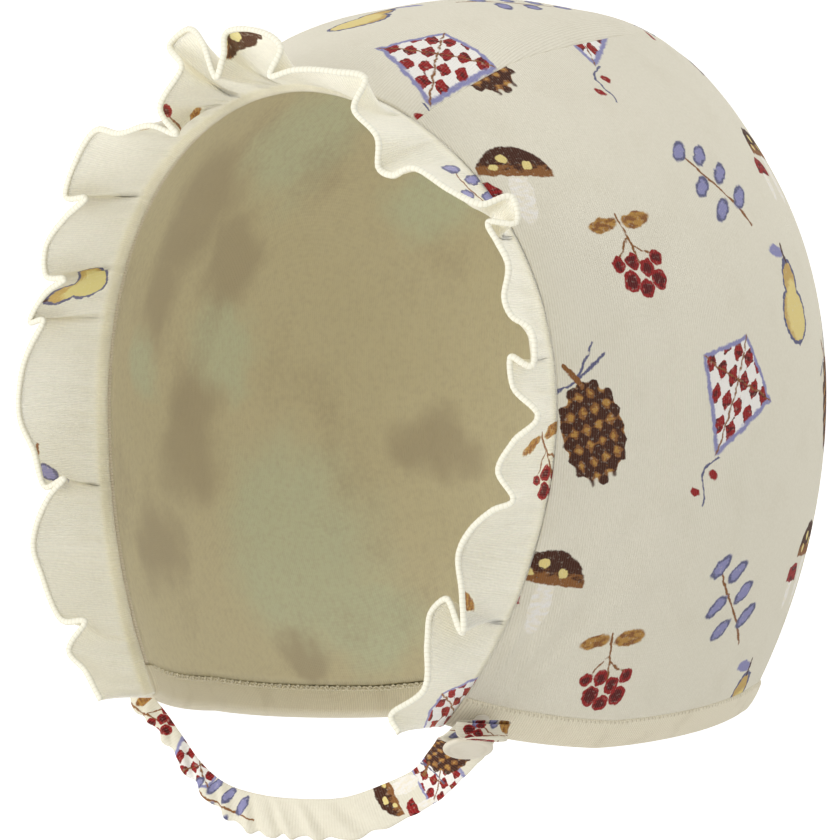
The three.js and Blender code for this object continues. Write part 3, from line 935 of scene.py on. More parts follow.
@dataclass(frozen=True)
class NaturePrint:
    """A scattered print of a kite, cones, pears, berries, sprigs and mushrooms on a knit.

    The figures are unions of ovals and strokes. Their outlines wander a little, as brushed
    ink does, and their ink is laid in two tones by soft noise.
    """

    width: float = 92.0
    height: float = 84.0
    dark: Colour = tone(66, 30, 14)
    brown: Colour = tone(134, 87, 44)
    ochre: Colour = tone(178, 134, 66)
    red: Colour = tone(146, 20, 24)
    wine: Colour = tone(86, 8, 14)
    blue: Colour = tone(140, 140, 184)
    slate: Colour = tone(92, 94, 128)
    yellow: Colour = tone(226, 208, 138)
    white: Colour = tone(240, 238, 234)
    stamps: tuple[Stamp, ...] = (
        Stamp(Motif.KITE, 18, 20, 24),
        Stamp(Motif.CONE, 58, 12, -18),
        Stamp(Motif.PEAR, 84, 34, 8),
        Stamp(Motif.BERRIES, 42, 44, -10),
        Stamp(Motif.SPRIG, 10, 58, -35),
        Stamp(Motif.MUSHROOM, 66, 64, 6),
    )

    def kite(self, pen: Pen, under: Paint) -> Wire:
        """A kite of white and red lozenges with a blue border, and a tail with red bows."""
        mix = pen.board.mix
        x, y = pen.board.split(pen.at)
        edge = abs(x) * (1 / 12) + (y * (1 / 9)).most(y * (-1 / 16)) - 1.0
        lozenge = pen.lattice(0.86, 0.62) + pen.rough(0.7)
        red = mix(self.red, self.wine, pen.brush.step(0.5, 0.62))
        sail = mix(self.white, red, lozenge.step(0.02, 0.12))
        sail = mix(sail, self.blue, (edge + 0.1 + pen.rough(0.1)).step(-0.03, 0.03))
        sail = pen.paint(sail, self.brown, pen.strokes((0, -16, 0, 9, 0.25), (-12, 0, 12, 0, 0.2)))
        tail = (abs(x - (y * 0.55).sine() * 1.8) - 0.28).most(y + 15.5).most(-26.0 - y)
        bows = pen.ovals((-1.4, -19.5, 1.5, 0.9), (1.8, -24.5, 1.5, 0.9))
        painted = pen.paint(under, sail, edge - 0.02, 0.03)
        return pen.paint(pen.paint(painted, self.slate, tail), self.red, bows)

    def cone(self, pen: Pen, under: Paint) -> Wire:
        """A pine cone: a dark oval with ochre scales, on a short stalk with needles."""
        mix = pen.board.mix
        scales = pen.lattice(1.05, 0.95)
        ink = mix(self.dark, self.brown, (scales + pen.rough(1.4)).step(0.0, 0.35))
        ink = mix(ink, self.ochre, (scales + pen.rough(2.4)).step(0.55, 0.8))
        tips = ((-7.5, 12.5, 0.32), (8.2, 8.6, 0.3), (-5.6, 15.6, 0.3))
        needles = pen.strokes(*((0.6, 10, *tip) for tip in tips))
        painted = pen.paint(under, self.slate, needles)
        painted = pen.paint(painted, ink, pen.ovals((0, -1, 7.6, 10.2)) + scales * 0.7, 0.2)
        return pen.paint(painted, self.brown, pen.strokes((0, 8.5, 2.4, 13.5, 0.55)))

    def pear(self, pen: Pen, under: Paint) -> Wire:
        """A pale pear with a broken blue outline, a stalk and one leaf."""
        body = pen.ovals((0, -3, 6.0, 5.6), (0.5, 3.4, 3.4, 4.6))
        shade = pen.ovals((-1.4, -2.2, 4.6, 5.4)) + pen.rough(2.4)
        ink = pen.board.mix(self.yellow, self.ochre, shade.step(0.2, 1.6) * 0.65)
        painted = pen.paint(under, ink, body, 0.2)
        painted = pen.paint(painted, self.blue, pen.ovals((4.6, 9.4, 3.6, 1.3)), 0.2)
        painted = pen.paint(painted, self.slate, abs(body) - 0.38 + pen.rough(0.9), 0.12)
        return pen.paint(painted, self.dark, pen.strokes((0.6, 7.6, 1.8, 11, 0.4)))

    def berries(self, pen: Pen, under: Paint) -> Wire:
        """Seven red berries on brown stalks under two leaves."""
        mix = pen.board.mix
        middles = ((-3.6, -4.2, 2.1), (0.4, -5.2, 2.0), (3.8, -3.2, 2.2), (-1.4, -1.4, 1.9),
                   (2.0, 0.6, 1.8), (-4.8, 0.0, 1.7), (5.6, 0.8, 1.6))
        fruit = pen.ovals(*((x, y, radius, radius) for x, y, radius in middles))
        side_stalks = (0.4, 4, -4.6, 0.5, 0.26), (0.6, 5.4, 5.4, 1.4, 0.26)
        stalks = pen.strokes((0, -1, 1.0, 10.5, 0.3), *side_stalks)
        leaves = pen.ovals((-3.9, 8.4, 4.0, 1.7), (5.2, 9.2, 3.8, 1.5))
        leaf_ink = mix(self.ochre, self.brown, pen.brush.step(0.42, 0.6))
        painted = pen.paint(pen.paint(under, self.brown, stalks, 0.14), leaf_ink, leaves, 0.2)
        ink = mix(self.red, self.wine, (fruit + pen.rough(2.6)).step(-0.4, -1.1))
        return pen.paint(painted, ink, fruit)

    def sprig(self, pen: Pen, under: Paint) -> Wire:
        """A brown stem with six blue leaves and their slate outlines."""
        x, y = pen.board.split(pen.at)
        stem = (abs(x - (y * 0.16).sine() * 1.2) - 0.3).most(abs(y) - 11.0)
        others = ((4.2, -2.6), (-4.1, 0.8), (4.3, 3.6), (-3.4, 6.8), (1.0, 11.4))
        leaves = pen.ovals((-4.0, -5.5, 3.7, 1.7), *((*middle, 3.4, 1.6) for middle in others))
        outline = (abs(leaves + 0.2) + (0.5 - pen.brush) * 1.3).step(0.5, 0.1)
        painted = pen.paint(under, self.brown, stem, 0.14)
        return pen.paint(painted, pen.board.mix(self.blue, self.slate, outline), leaves, 0.2)

    def mushroom(self, pen: Pen, under: Paint) -> Wire:
        """A brown mushroom with pale spots, and a smaller red one beside it."""
        mix = pen.board.mix
        _, y = pen.board.split(pen.at)
        stems = pen.ovals((-1.5, -4.2, 2.6, 6.2), (7.2, -6.6, 1.5, 3.8))
        cap = pen.ovals((-1.5, 0.6, 8.6, 7.0)).most(0.4 - y)
        small = pen.ovals((7.2, -4.2, 4.0, 3.4)).most(-4.6 - y)
        spots = pen.ovals((-4.6, 3.0, 1.2, 0.9), (0.6, 4.6, 1.3, 1.0), (3.2, 2.2, 1.0, 0.8))
        pale = mix(self.white, self.yellow, pen.brush.step(0.3, 0.9) * 0.5)
        brown = mix(self.brown, self.dark, (pen.brush * 7.0 - y).step(1.5, 0.2))
        red = mix(self.red, self.wine, pen.brush.step(0.5, 0.6))
        painted = pen.paint(pen.paint(under, pale, stems, 0.2), brown, cap, 0.2)
        return pen.paint(pen.paint(painted, self.yellow, spots), red, small)

    def local(self, board: Board, place: Wire, stamp: Stamp) -> Wire:
        """Place about one figure's middle, the same in each repeat of the print."""
        high = (self.width / 2, self.height / 2, 1.0)
        moved = board.vector("SUBTRACT", place, (stamp.x, stamp.y, 0.0))
        held = board.vector("WRAP", moved, high, tuple(-v for v in high))
        inputs = {"Vector": held, "Angle": -math.radians(stamp.turn)}
        return board.out("ShaderNodeVectorRotate", {"rotation_type": "Z_AXIS"}, inputs)

    def over(self, board: Board, ground: Paint, place: Wire) -> Wire:
        """Prints the figures over a ground.

        Args:
            board: The material's board.
            ground: The cloth's own colour.
            place: The cloth's map.

        Returns:
            The printed colour.
        """
        drawn = board.wandered(place, 0.5, 1.6)
        brush = board.noise(board.vector("MULTIPLY", place, (0.45, 1.1, 1.0)), 1.0)
        painted = ground
        for stamp in self.stamps:
            draw = getattr(self, stamp.motif.value)
            painted = draw(Pen(board, self.local(board, drawn, stamp), brush), painted)
        return painted


@dataclass(frozen=True)
class PrintedJersey:
    """Ivory cotton jersey with the print, for the crown, the strap and the ruffle.

    shift moves the print on the cloth, so that each piece is cut from another place. through
    is the share of the light that passes into the cloth, and root the reach in millimetres of
    a strip of painted shade at a seam along the map's first axis.
    """

    name: str
    shift: tuple[float, float] = (0.0, 0.0)
    spread: float = 1.0
    ground: Colour = tone(229, 225, 209)
    shade: Colour = tone(206, 199, 178)
    knit: Knit = Knit(depth=0.2)
    figures: NaturePrint = NaturePrint()
    through: float = 0.0
    root: float = 0.0

    def material(self) -> bpy.types.Material:
        """Makes the finish: the print on a ground with painted shade between the wales."""
        depth = {"Subsurface_Weight": self.through, "Subsurface_Radius": (1.0, 0.97, 0.92),
                 "Subsurface_Scale": 0.004}
        board = Board(self.name, Roughness=0.9, Sheen_Weight=0.03, Sheen_Roughness=0.6,
                      Specular_IOR_Level=0.18, **(depth if self.through else {}))
        place = board.cloth()
        loops = self.knit.height(board, place)
        mottle, fuzz = board.noise(place, 0.09, 2.0), board.noise(place, 1.3)
        # Painted shade between the wales, with random mottle and fuzz in the ground's tone.
        dull = (1.0 - loops) * 0.22 + mottle.step(0.45, 0.75) * 0.14 + (fuzz - 0.5) * 0.6
        if self.root:
            # Painted shade in a strip beside the seam, root millimetres wide.
            dull = dull + board.split(place)[1].step(self.root, self.root * 0.4) * 0.4
        ground = board.mix(self.ground, self.shade, dull.most(0.0))
        moved = board.vector("MULTIPLY_ADD", place, (self.spread, self.spread, 0), (*self.shift, 0))
        painted = self.figures.over(board, ground, moved)
        worn = (1.0 - loops) * 0.05 + fuzz.step(0.55, 0.75) * 0.26
        colour = board.mix(painted, self.ground, worn)
        return board.finish(colour, loops + fuzz * 0.4, self.knit.depth, 0.5)


@dataclass(frozen=True)
class LiningJersey:
    """The plain lining, with soft patches of painted shade and of painted show-through of the
    print.

    A patch has its middle, in metres, and its reach. The brown ones are painted shade on the side
    walls, mostly low down, with painted show-through; the green ones are painted show-through.
    """

    name: str = "lining_jersey"
    ground: Colour = tone(226, 218, 188)
    brown: Colour = tone(192, 180, 156)
    green: Colour = tone(222, 229, 203)
    knit: Knit = Knit(depth=0.12)
    shade_and_show_through: tuple[tuple[float, float, float, float], ...] = (
        (-0.0625, -0.016, -0.087, 0.013), (-0.0556, -0.036, -0.106, 0.011),
        (-0.055, -0.022, -0.039, 0.015), (-0.060, -0.030, -0.055, 0.011),
        (-0.061, -0.004, -0.052, 0.010), (-0.0475, 0.052, -0.095, 0.008),
        (-0.050, 0.006, -0.134, 0.006), (0.058, 0.010, -0.070, 0.014),
        (0.052, 0.030, -0.110, 0.013),
    )
    green_show_through: tuple[tuple[float, float, float, float], ...] = (
        (-0.0495, 0.006, -0.0268, 0.014), (-0.062, -0.002, -0.070, 0.010),
        (-0.0564, 0.015, -0.113, 0.021), (-0.0605, -0.036, -0.072, 0.007),
        (-0.049, 0.026, -0.128, 0.013), (-0.040, 0.044, -0.040, 0.010),
        (0.056, -0.014, -0.100, 0.016), (0.030, 0.060, -0.060, 0.018),
    )

    def patch_strength(self, board: Board, place: Wire, patches: Iterable[Sequence[float]]) -> Wire:
        """How strongly any of some patches shows: the most of a soft step for each."""
        shown = []
        for *middle, reach in patches:
            away = board.vector("DISTANCE", place, tuple(middle), name="Value")
            shown.append(away.step(reach * 1.45, reach * 0.55))
        return reduce(Wire.most, shown)

    def material(self) -> bpy.types.Material:
        """Makes the finish: soft patches of painted shade and show-through, and the knit."""
        board = Board(self.name, Roughness=0.93, Sheen_Weight=0.2, Specular_IOR_Level=0.15)
        place = board.place()
        loops = self.knit.height(board, board.cloth())
        moved = board.wandered(place, 60.0, 0.022)
        cloud, fine = board.noise(place, 45.0, 4.0), board.noise(place, 900.0)
        # Painted show-through in green, and painted shade with show-through in brown.
        green = self.patch_strength(board, moved, self.green_show_through) * 0.85
        brown = self.patch_strength(board, moved, self.shade_and_show_through) * 0.75
        colour = board.mix(board.mix(self.ground, self.green, green), self.brown, brown)
        # Painted shade between the wales, with random clouds and fine mottle.
        dull = (1.0 - loops) * 0.18 + cloud.step(0.5, 0.72) * 0.32 + (fine - 0.5) * 0.9
        colour = board.mix(colour, self.brown, dull.most(0.0))
        return board.finish(colour, loops + fine * 0.5, self.knit.depth, 0.5)


@dataclass(frozen=True)
class BandRib:
    """The neck band's jersey: upright wales and a row of stitch holes along the seam."""

    name: str = "neck_rib"
    seam: bool = True
    ground: Colour = tone(240, 233, 210)
    shade: Colour = tone(182, 170, 140)
    knit: Knit = Knit(wale=0.6, course=0.5, depth=0.2)

    def material(self) -> bpy.types.Material:
        """Makes the finish: ribs, a shaded seam and its holes."""
        board = Board(self.name, Roughness=0.9, Sheen_Weight=0.25, Specular_IOR_Level=0.18)
        place = board.cloth()
        x, y = board.split(place)
        loops = self.knit.height(board, place)
        mottle = board.noise(place, 0.14)
        dull = (1.0 - loops) * 0.3 + mottle.step(0.5, 0.7) * 0.15
        colour = board.mix(self.ground, self.shade, dull)
        if not self.seam:
            return board.finish(colour, loops, self.knit.depth, 0.6)
        drift = board.noise(place, 0.45)
        row = (abs(y - 0.35 - drift * 0.5) - 0.12).step(0.3, 0.0)
        holes = ((x * (TURN / 1.15) + drift * 9.0).sine() * 0.5 + 0.5).step(0.5, 0.95) * row
        colour = board.mix(colour, self.shade, holes * 0.45)
        return board.finish(colour, loops - holes * 0.8, self.knit.depth, 0.6)


@dataclass(frozen=True)
class Thread:
    """Twisted polyester sewing thread."""

    name: str = "seam_thread"
    ground: Colour = tone(236, 230, 208)
    shade: Colour = tone(196, 184, 150)
    twist: float = 0.5

    def material(self) -> bpy.types.Material:
        """Makes the finish: slanting plies in two tones."""
        board = Board(self.name, Roughness=0.6, Sheen_Weight=0.3, Specular_IOR_Level=0.35)
        place = board.cloth()
        x, y = board.split(place)
        plies = ((x * (1 / self.twist) + y * 1.4) * TURN).sine() * 0.5 + 0.5
        fuzz = board.noise(place, 2.4)
        colour = board.mix(self.ground, self.shade, (1.0 - plies) * 0.35 + (fuzz - 0.5) * 0.3)
        return board.finish(colour, plies, 0.08, 0.5)


@dataclass(frozen=True)
class Overlock:
    """The thread that covers the ruffle's edge: close, soft turns across it."""

    name: str = "overlock_thread"
    ground: Colour = tone(239, 237, 222)
    shade: Colour = tone(206, 200, 172)
    pitch: float = STITCH

    def material(self) -> bpy.types.Material:
        """Makes the finish: a faint rung at each turn, and soft fuzz."""
        board = Board(self.name, Roughness=0.9, Specular_IOR_Level=0.15)
        place = board.cloth()
        x, y = board.split(place)
        rung = ((x * (1 / self.pitch) + (y * 1.6).sine() * 0.06) * TURN).sine() * 0.5 + 0.5
        fuzz = board.noise(place, 2.0)
        dull = rung.step(0.72, 1.0) * 0.3 + (fuzz - 0.45) * 0.35
        colour = board.mix(self.ground, self.shade, dull)
        return board.finish(colour, fuzz * 0.6 - rung.step(0.6, 1.0) * 0.4, 0.08, 0.5)


@dataclass(frozen=True)
class SnapPlastic:
    """Moulded snap plastic with a satin skin and a few rubbed marks."""

    name: str = "snap_plastic"
    ground: Colour = tone(222, 216, 200)
    rubbed: Colour = tone(206, 198, 178)

    def material(self) -> bpy.types.Material:
        """Makes the finish: faint clouds, and a fine moulded grain in its relief."""
        board = Board(self.name, Roughness=0.36, Specular_IOR_Level=0.45, Coat_Weight=0.08)
        clouds, grain = board.noise(board.place(), 300.0), board.noise(board.place(), 4200.0, 2.0)
        colour = board.mix(self.ground, self.rubbed, clouds.step(0.5, 0.75) * 0.5)
        return board.finish(colour, grain, 0.02, 0.4)


@dataclass(frozen=True)
class StudioPaper:
    """White backdrop paper that glows with painted light away from the bonnet, and is darker under
    it.
    """

    name: str = "studio_paper"
    ground: Colour = (0.95, 0.95, 0.95)
    under: Colour = (0.78, 0.77, 0.75)
    dark: Colour = (0.0, 0.0, 0.0)
    white: Colour = (1.0, 1.0, 1.0)
    glow: float = 0.44

    def material(self) -> bpy.types.Material:
        """Makes the finish: both its colour and its glow grow with the distance in plan."""
        board = Board(self.name, Roughness=0.9, Specular_IOR_Level=0.1, Emission_Strength=self.glow)
        away = board.vector("MULTIPLY", board.place(), (1.0, 1.0, 0.0))
        far = board.vector("LENGTH", away, name="Value").step(0.3, 0.85)
        # Painted light: the emission grows from black near the bonnet to white far from it.
        board.put(board.surface.inputs["Emission Color"], board.mix(self.dark, self.white, far))
        return board.finish(board.mix(self.under, self.ground, far))


# Camera and studio


@dataclass(frozen=True)
class PhotoCamera:
    """The camera at the photograph's place, in degrees and millimetres about the head's middle."""

    azimuth: float = AZIMUTH
    elevation: float = 5.0
    distance: float = 1053.7
    focal_pixels: float = 5259.5
    picture: float = 840.0
    right_shift: float = 12.954
    up_shift: float = -0.230

    def build(self) -> None:
        """Makes the camera and gives it to the scene."""
        turn, tilt = math.radians(self.azimuth), math.radians(self.elevation)
        level = math.cos(tilt)
        back = Vector((math.sin(turn) * level, -math.cos(turn) * level, math.sin(tilt)))
        right = Vector((math.cos(turn), math.sin(turn), 0))
        up = back.cross(right)
        place = back * self.distance - right * self.right_shift - up * self.up_shift
        place = place - Vector((0, 0, SEAT_Z))
        data = bpy.data.cameras.new("photo_camera")
        data.sensor_width = 36.0
        data.lens = data.sensor_width * self.focal_pixels / self.picture
        data.clip_start, data.clip_end = 0.05, 60.0
        camera = bpy.data.objects.new("photo_camera", data)
        turned = Matrix((right, up, back)).transposed().to_4x4()
        camera.matrix_world = Matrix.Translation(place / PER_METRE) @ turned
        bpy.context.collection.objects.link(camera)
        bpy.context.scene.camera = camera


@dataclass(frozen=True)
class SoftBox:
    """A large square lamp that looks at the bonnet."""

    name: str
    place: tuple[float, float, float]
    size: float
    watts: float
    colour: Colour = (1.0, 0.98, 0.95)

    def build(self) -> None:
        """Hangs the lamp."""
        data = bpy.data.lights.new(self.name, "AREA")
        data.shape, data.size = "SQUARE", self.size
        data.energy, data.color = self.watts, self.colour
        lamp = bpy.data.objects.new(self.name, data)
        toward = Vector((0, 0, -SEAT_Z / PER_METRE)) - Vector(self.place)
        turned = toward.to_track_quat("-Z", "Y").to_matrix().to_4x4()
        lamp.matrix_world = Matrix.Translation(self.place) @ turned
        bpy.context.collection.objects.link(lamp)


@dataclass(frozen=True)
class Studio:
    """White paper that sweeps up behind the bonnet, and soft light from all round."""

    floor_z: float = -0.36
    reach: float = 2.2
    bend: float = 0.8
    wall_height: float = 2.4
    half_width: float = 3.4
    ambient: float = 0.50
    tint: Colour = (1.0, 0.985, 0.96)
    lamps: tuple[SoftBox, ...] = (
        SoftBox("top_box", (0.35, 0.1, 1.5), 1.6, 12.5),
        SoftBox("right_box", (1.5, 0.3, 0.35), 1.2, 1.2),
        SoftBox("front_box", (-0.3, -1.2, 0.08), 0.7, 7.0),
    )

    def build(self) -> None:
        """Lays the paper, lights the room and hangs the lamps."""
        turn = np.linspace(0, math.pi / 2, 13)
        bend = self.bend * np.array([np.sin(turn), 1 - np.cos(turn)])
        run = np.concatenate([[-self.reach], self.reach + bend[0], [self.reach + self.bend]])
        rise = np.concatenate([[0.0], bend[1], [self.wall_height]]) + self.floor_z
        across = np.linspace(-self.half_width, self.half_width, 9)
        sine, cosine = math.sin(math.radians(AZIMUTH)), math.cos(math.radians(AZIMUTH))
        flat = run[:, None, None] * (-sine, cosine) + across[None, :, None] * (cosine, sine)
        upright = np.broadcast_to(rise[:, None, None], (*flat.shape[:2], 1))
        grid = np.concatenate([flat, upright], axis=-1)
        faces = cells(np.arange(flat[..., 0].size).reshape(flat.shape[:2]))[:, ::-1]
        points = grid.reshape(-1, 3) * PER_METRE + (0, 0, SEAT_Z)
        skin = Skin(points, faces, np.zeros((*faces.shape, 2)))
        place_piece("backdrop", skin, StudioPaper().material())
        world = bpy.data.worlds.new("studio_light")
        world.use_nodes = True
        glow = world.node_tree.nodes["Background"]
        glow.inputs["Color"].default_value = (*self.tint, 1.0)
        glow.inputs["Strength"].default_value = self.ambient
        bpy.context.scene.view_settings.view_transform = "Standard"
        bpy.context.scene.world = world
        for lamp in self.lamps:
            lamp.build()


# The bonnet's pieces


def dress(piece: bpy.types.Object, node: Optional[str] = None) -> None:
    """Ties a piece to the bonnet's body.

    Args:
        piece: The piece.
        node: The solid that it stands for, if it stands for one.
    """
    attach(piece, "root")
    if node:
        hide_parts(node)


def centre_map(grid: Array) -> Array:
    """The cloth's map of the centre panel: across by x and along by its middle slice's run."""
    run = run_along(grid[:, grid.shape[1] // 2])
    return np.stack([grid[..., 0], np.broadcast_to(run[:, None], grid.shape[:2])], axis=-1)


@dataclass
class Crown:
    """The three printed panels of the crown, whose turned edges meet in the seams."""

    form: HeadForm
    cut: CrownCut
    extent: Extent = Extent(BAND_HEIGHT - 0.22, 0.0)
    edge_radius: float = 0.46
    inner_depth: float = 0.96
    seam_shift: float = 0.12
    seam_dip: float = 0.28
    seam_reach: float = 2.2

    def relief(self, points: Array, side: int) -> Array:
        """How far the cloth stands off the form, as soft folds and waves, in millimetres.

        On the left there are two upright folds behind the face, and three pulled folds that
        spread from the snap over a wide, shallow hollow.
        """
        x, y, z = np.moveaxis(points, -1, 0)
        waves = 0.16 * np.sin(y / 17 + 1.3 * np.sin(z / 23)) * np.sin(z / 19 + x / 31)
        if side <= 0:
            return waves
        fold = bell(y + 27 - 0.16 * (z - 10) - 3.0 * np.sin(z / 26), 4.2) * bell(z - 6, 30)
        second = bell(y + 38 - 0.10 * (z - 20), 3.4) * bell(z - 22, 22)
        angle, reach = np.arctan2(z + 50, y + 61), np.hypot(y + 61, z + 50)
        rays = ((0.62, 1.12, 0.10), (0.42, 0.74, 0.10), (0.5, 1.44, 0.08), (-0.3, 1.0, 0.6))
        pull = sum(height * bell(angle - middle, width) for height, middle, width in rays)
        pull = pull * eased(reach, 3, 13) * bell(reach - 12, 24)
        return waves + 0.6 * fold + 0.4 * second + 1.7 * pull

    def panel(self, grid: Array, cloth: Array, spans: Sequence[tuple[Array, float]],
              side: int = 0) -> Skin:
        """The closed wall of one panel: its outer face, rounded at the edges, and its inner one.

        Args:
            grid: Points of the form by row and column.
            cloth: The map there.
            spans: For the columns and for the rows, their shares and the length of the whole.
            side: 1 for the left panel, -1 for the right one and 0 for the centre.

        Returns:
            The closed skin.
        """
        across, along = (np.minimum(share, 1 - share) * length for share, length in spans)
        normal = self.form.outward(grid)
        edge = rolled(np.minimum(across[None, :], along[:, None]), self.edge_radius)
        drop = edge + self.seam_dip * bell(across[None, :], self.seam_reach)
        front = grid + normal * (self.relief(grid, side) - drop)[..., None]
        back = grid - normal * (self.inner_depth - edge * 0.9)[..., None]
        return wall_skin(front, back, cloth)

    def centre_panel(self) -> Skin:
        """The centre panel, by slices from the face to the nape."""
        spans = (edged(70, 56.0), 56.0), (edged(240, 213.0), 213.0)
        grid = self.cut.centre(spans[0][0], spans[1][0], self.seam_shift, self.extent)
        return self.panel(grid, centre_map(grid), spans)

    def side_panel(self, side: int) -> Skin:
        """A side panel, whose map spreads its cloth flat about the ear."""
        spans = (edged(150, 118.0), 118.0), (edged(130, 106.0), 106.0)
        grid = self.cut.side(side, spans[0][0], spans[1][0], -self.seam_shift, self.extent)
        return self.panel(grid, ear_map(grid, side), spans, side)

    def build(self) -> None:
        """Makes the three panels."""
        finish = PrintedJersey("printed_jersey").material()
        cuts = (
            ("centre_panel", self.centre_panel(), (0.068, 0.212), 0.0139),
            ("side_panel_left", self.side_panel(1), (0.150, 0.135), 0.0178),
            ("side_panel_right", self.side_panel(-1), (0.150, 0.135), 0.0178),
        )
        for node, skin, flat, area in cuts:
            piece = place_piece(f"{node}_cloth", skin, finish)
            dress(piece, node)


def ear_map(points: Array, side: int) -> Array:
    """The cloth's map of a side of the head, in millimetres about the ear.

    It keeps each direction from the ear and the distance to it along the form: the angle
    between the directions of the point and the ear, times the mean distance of the two.
    """
    ear = unit(np.array([side * 1.0, 0.1, -0.12]))
    toward = unit(points)
    cosine = np.clip((toward * ear).sum(-1), -1, 1)
    away = toward - cosine[..., None] * ear
    backward = unit(np.cross(ear, (0, 0, side * 1.0)))
    upward = unit(np.cross(backward, ear)) * side
    share = unit(away)
    reach = np.arccos(cosine) * (np.linalg.norm(points, axis=-1) + 66) / 2
    return np.stack([reach * (share * backward).sum(-1), reach * (share * upward).sum(-1)], axis=-1)


@dataclass
class Lining:
    """The lining in one closed wall inside the crown, and the binding along its face edge."""

    form: HeadForm
    cut: CrownCut
    binding_width: float = 1.2
    binding_wall: float = 1.0

    def body(self) -> Skin:
        """The lining: the crown's cut carried inward, welded along the seams."""
        extent = Extent(BAND_HEIGHT + 0.4, self.binding_width + 0.1)
        even = np.linspace(0, 1, 81)
        long = np.concatenate([even / 2, 1 - even[-2::-1] / 2])
        centre = self.cut.centre(np.linspace(0, 1, 37), long, 0.0, extent)
        left, right = (self.cut.side(side, even, even, 0.0, extent) for side in (1, -1))
        right = right[:, ::-1]
        grids = (centre, centre_map(centre)), (left, ear_map(left, 1)), (right, ear_map(right, -1))
        sheets = [(grid - (WALL + GAP) * self.form.outward(grid), cloth) for grid, cloth in grids]
        return welded_wall(sheets, self.inner_face)

    def inner_face(self, points: Array) -> Array:
        """The lining's inner face, whose soft waves stand nearer to the crown."""
        x, y, z = points.T
        slack = 0.22 * np.sin(y / 13 + x / 29) * np.sin(z / 11 + y / 27)
        slack = slack + 0.1 * np.sin(z / 5 + y / 9 + x / 7)
        return points - (WALL - slack)[:, None] * self.form.outward(points)

    def binding(self) -> Skin:
        """The binding: a narrow rounded strip in the lining's layer at the face edge."""
        rise = BAND_HEIGHT + 0.1
        ends = [float(self.form.corner_angle(side, rise, self.binding_width)) for side in (-1, 1)]
        turn = np.linspace(0, TURN, 20, endpoint=False)
        out = -(WALL + GAP) - self.binding_wall / 2 + self.binding_wall / 2 * np.sin(turn)
        half = self.binding_width / 2
        back = half + half * np.sign(np.cos(turn)) * np.abs(np.cos(turn)) ** 0.6
        places = self.form.face_point(np.linspace(*ends, 700)[:, None], back[None, :])
        rings = places + self.form.outward(places) * out[None, :, None]
        return tube_skin(rings, ring_map(rings))

    def build(self) -> None:
        """Makes the lining and the binding."""
        lining = place_piece("lining_cloth", self.body(), LiningJersey().material())
        edging = BandRib("edging_jersey", ground=tone(232, 222, 200), seam=False)
        binding = place_piece("face_binding_strip", self.binding(), edging.material())
        dress(lining, "lining")
        dress(binding, "face_binding")


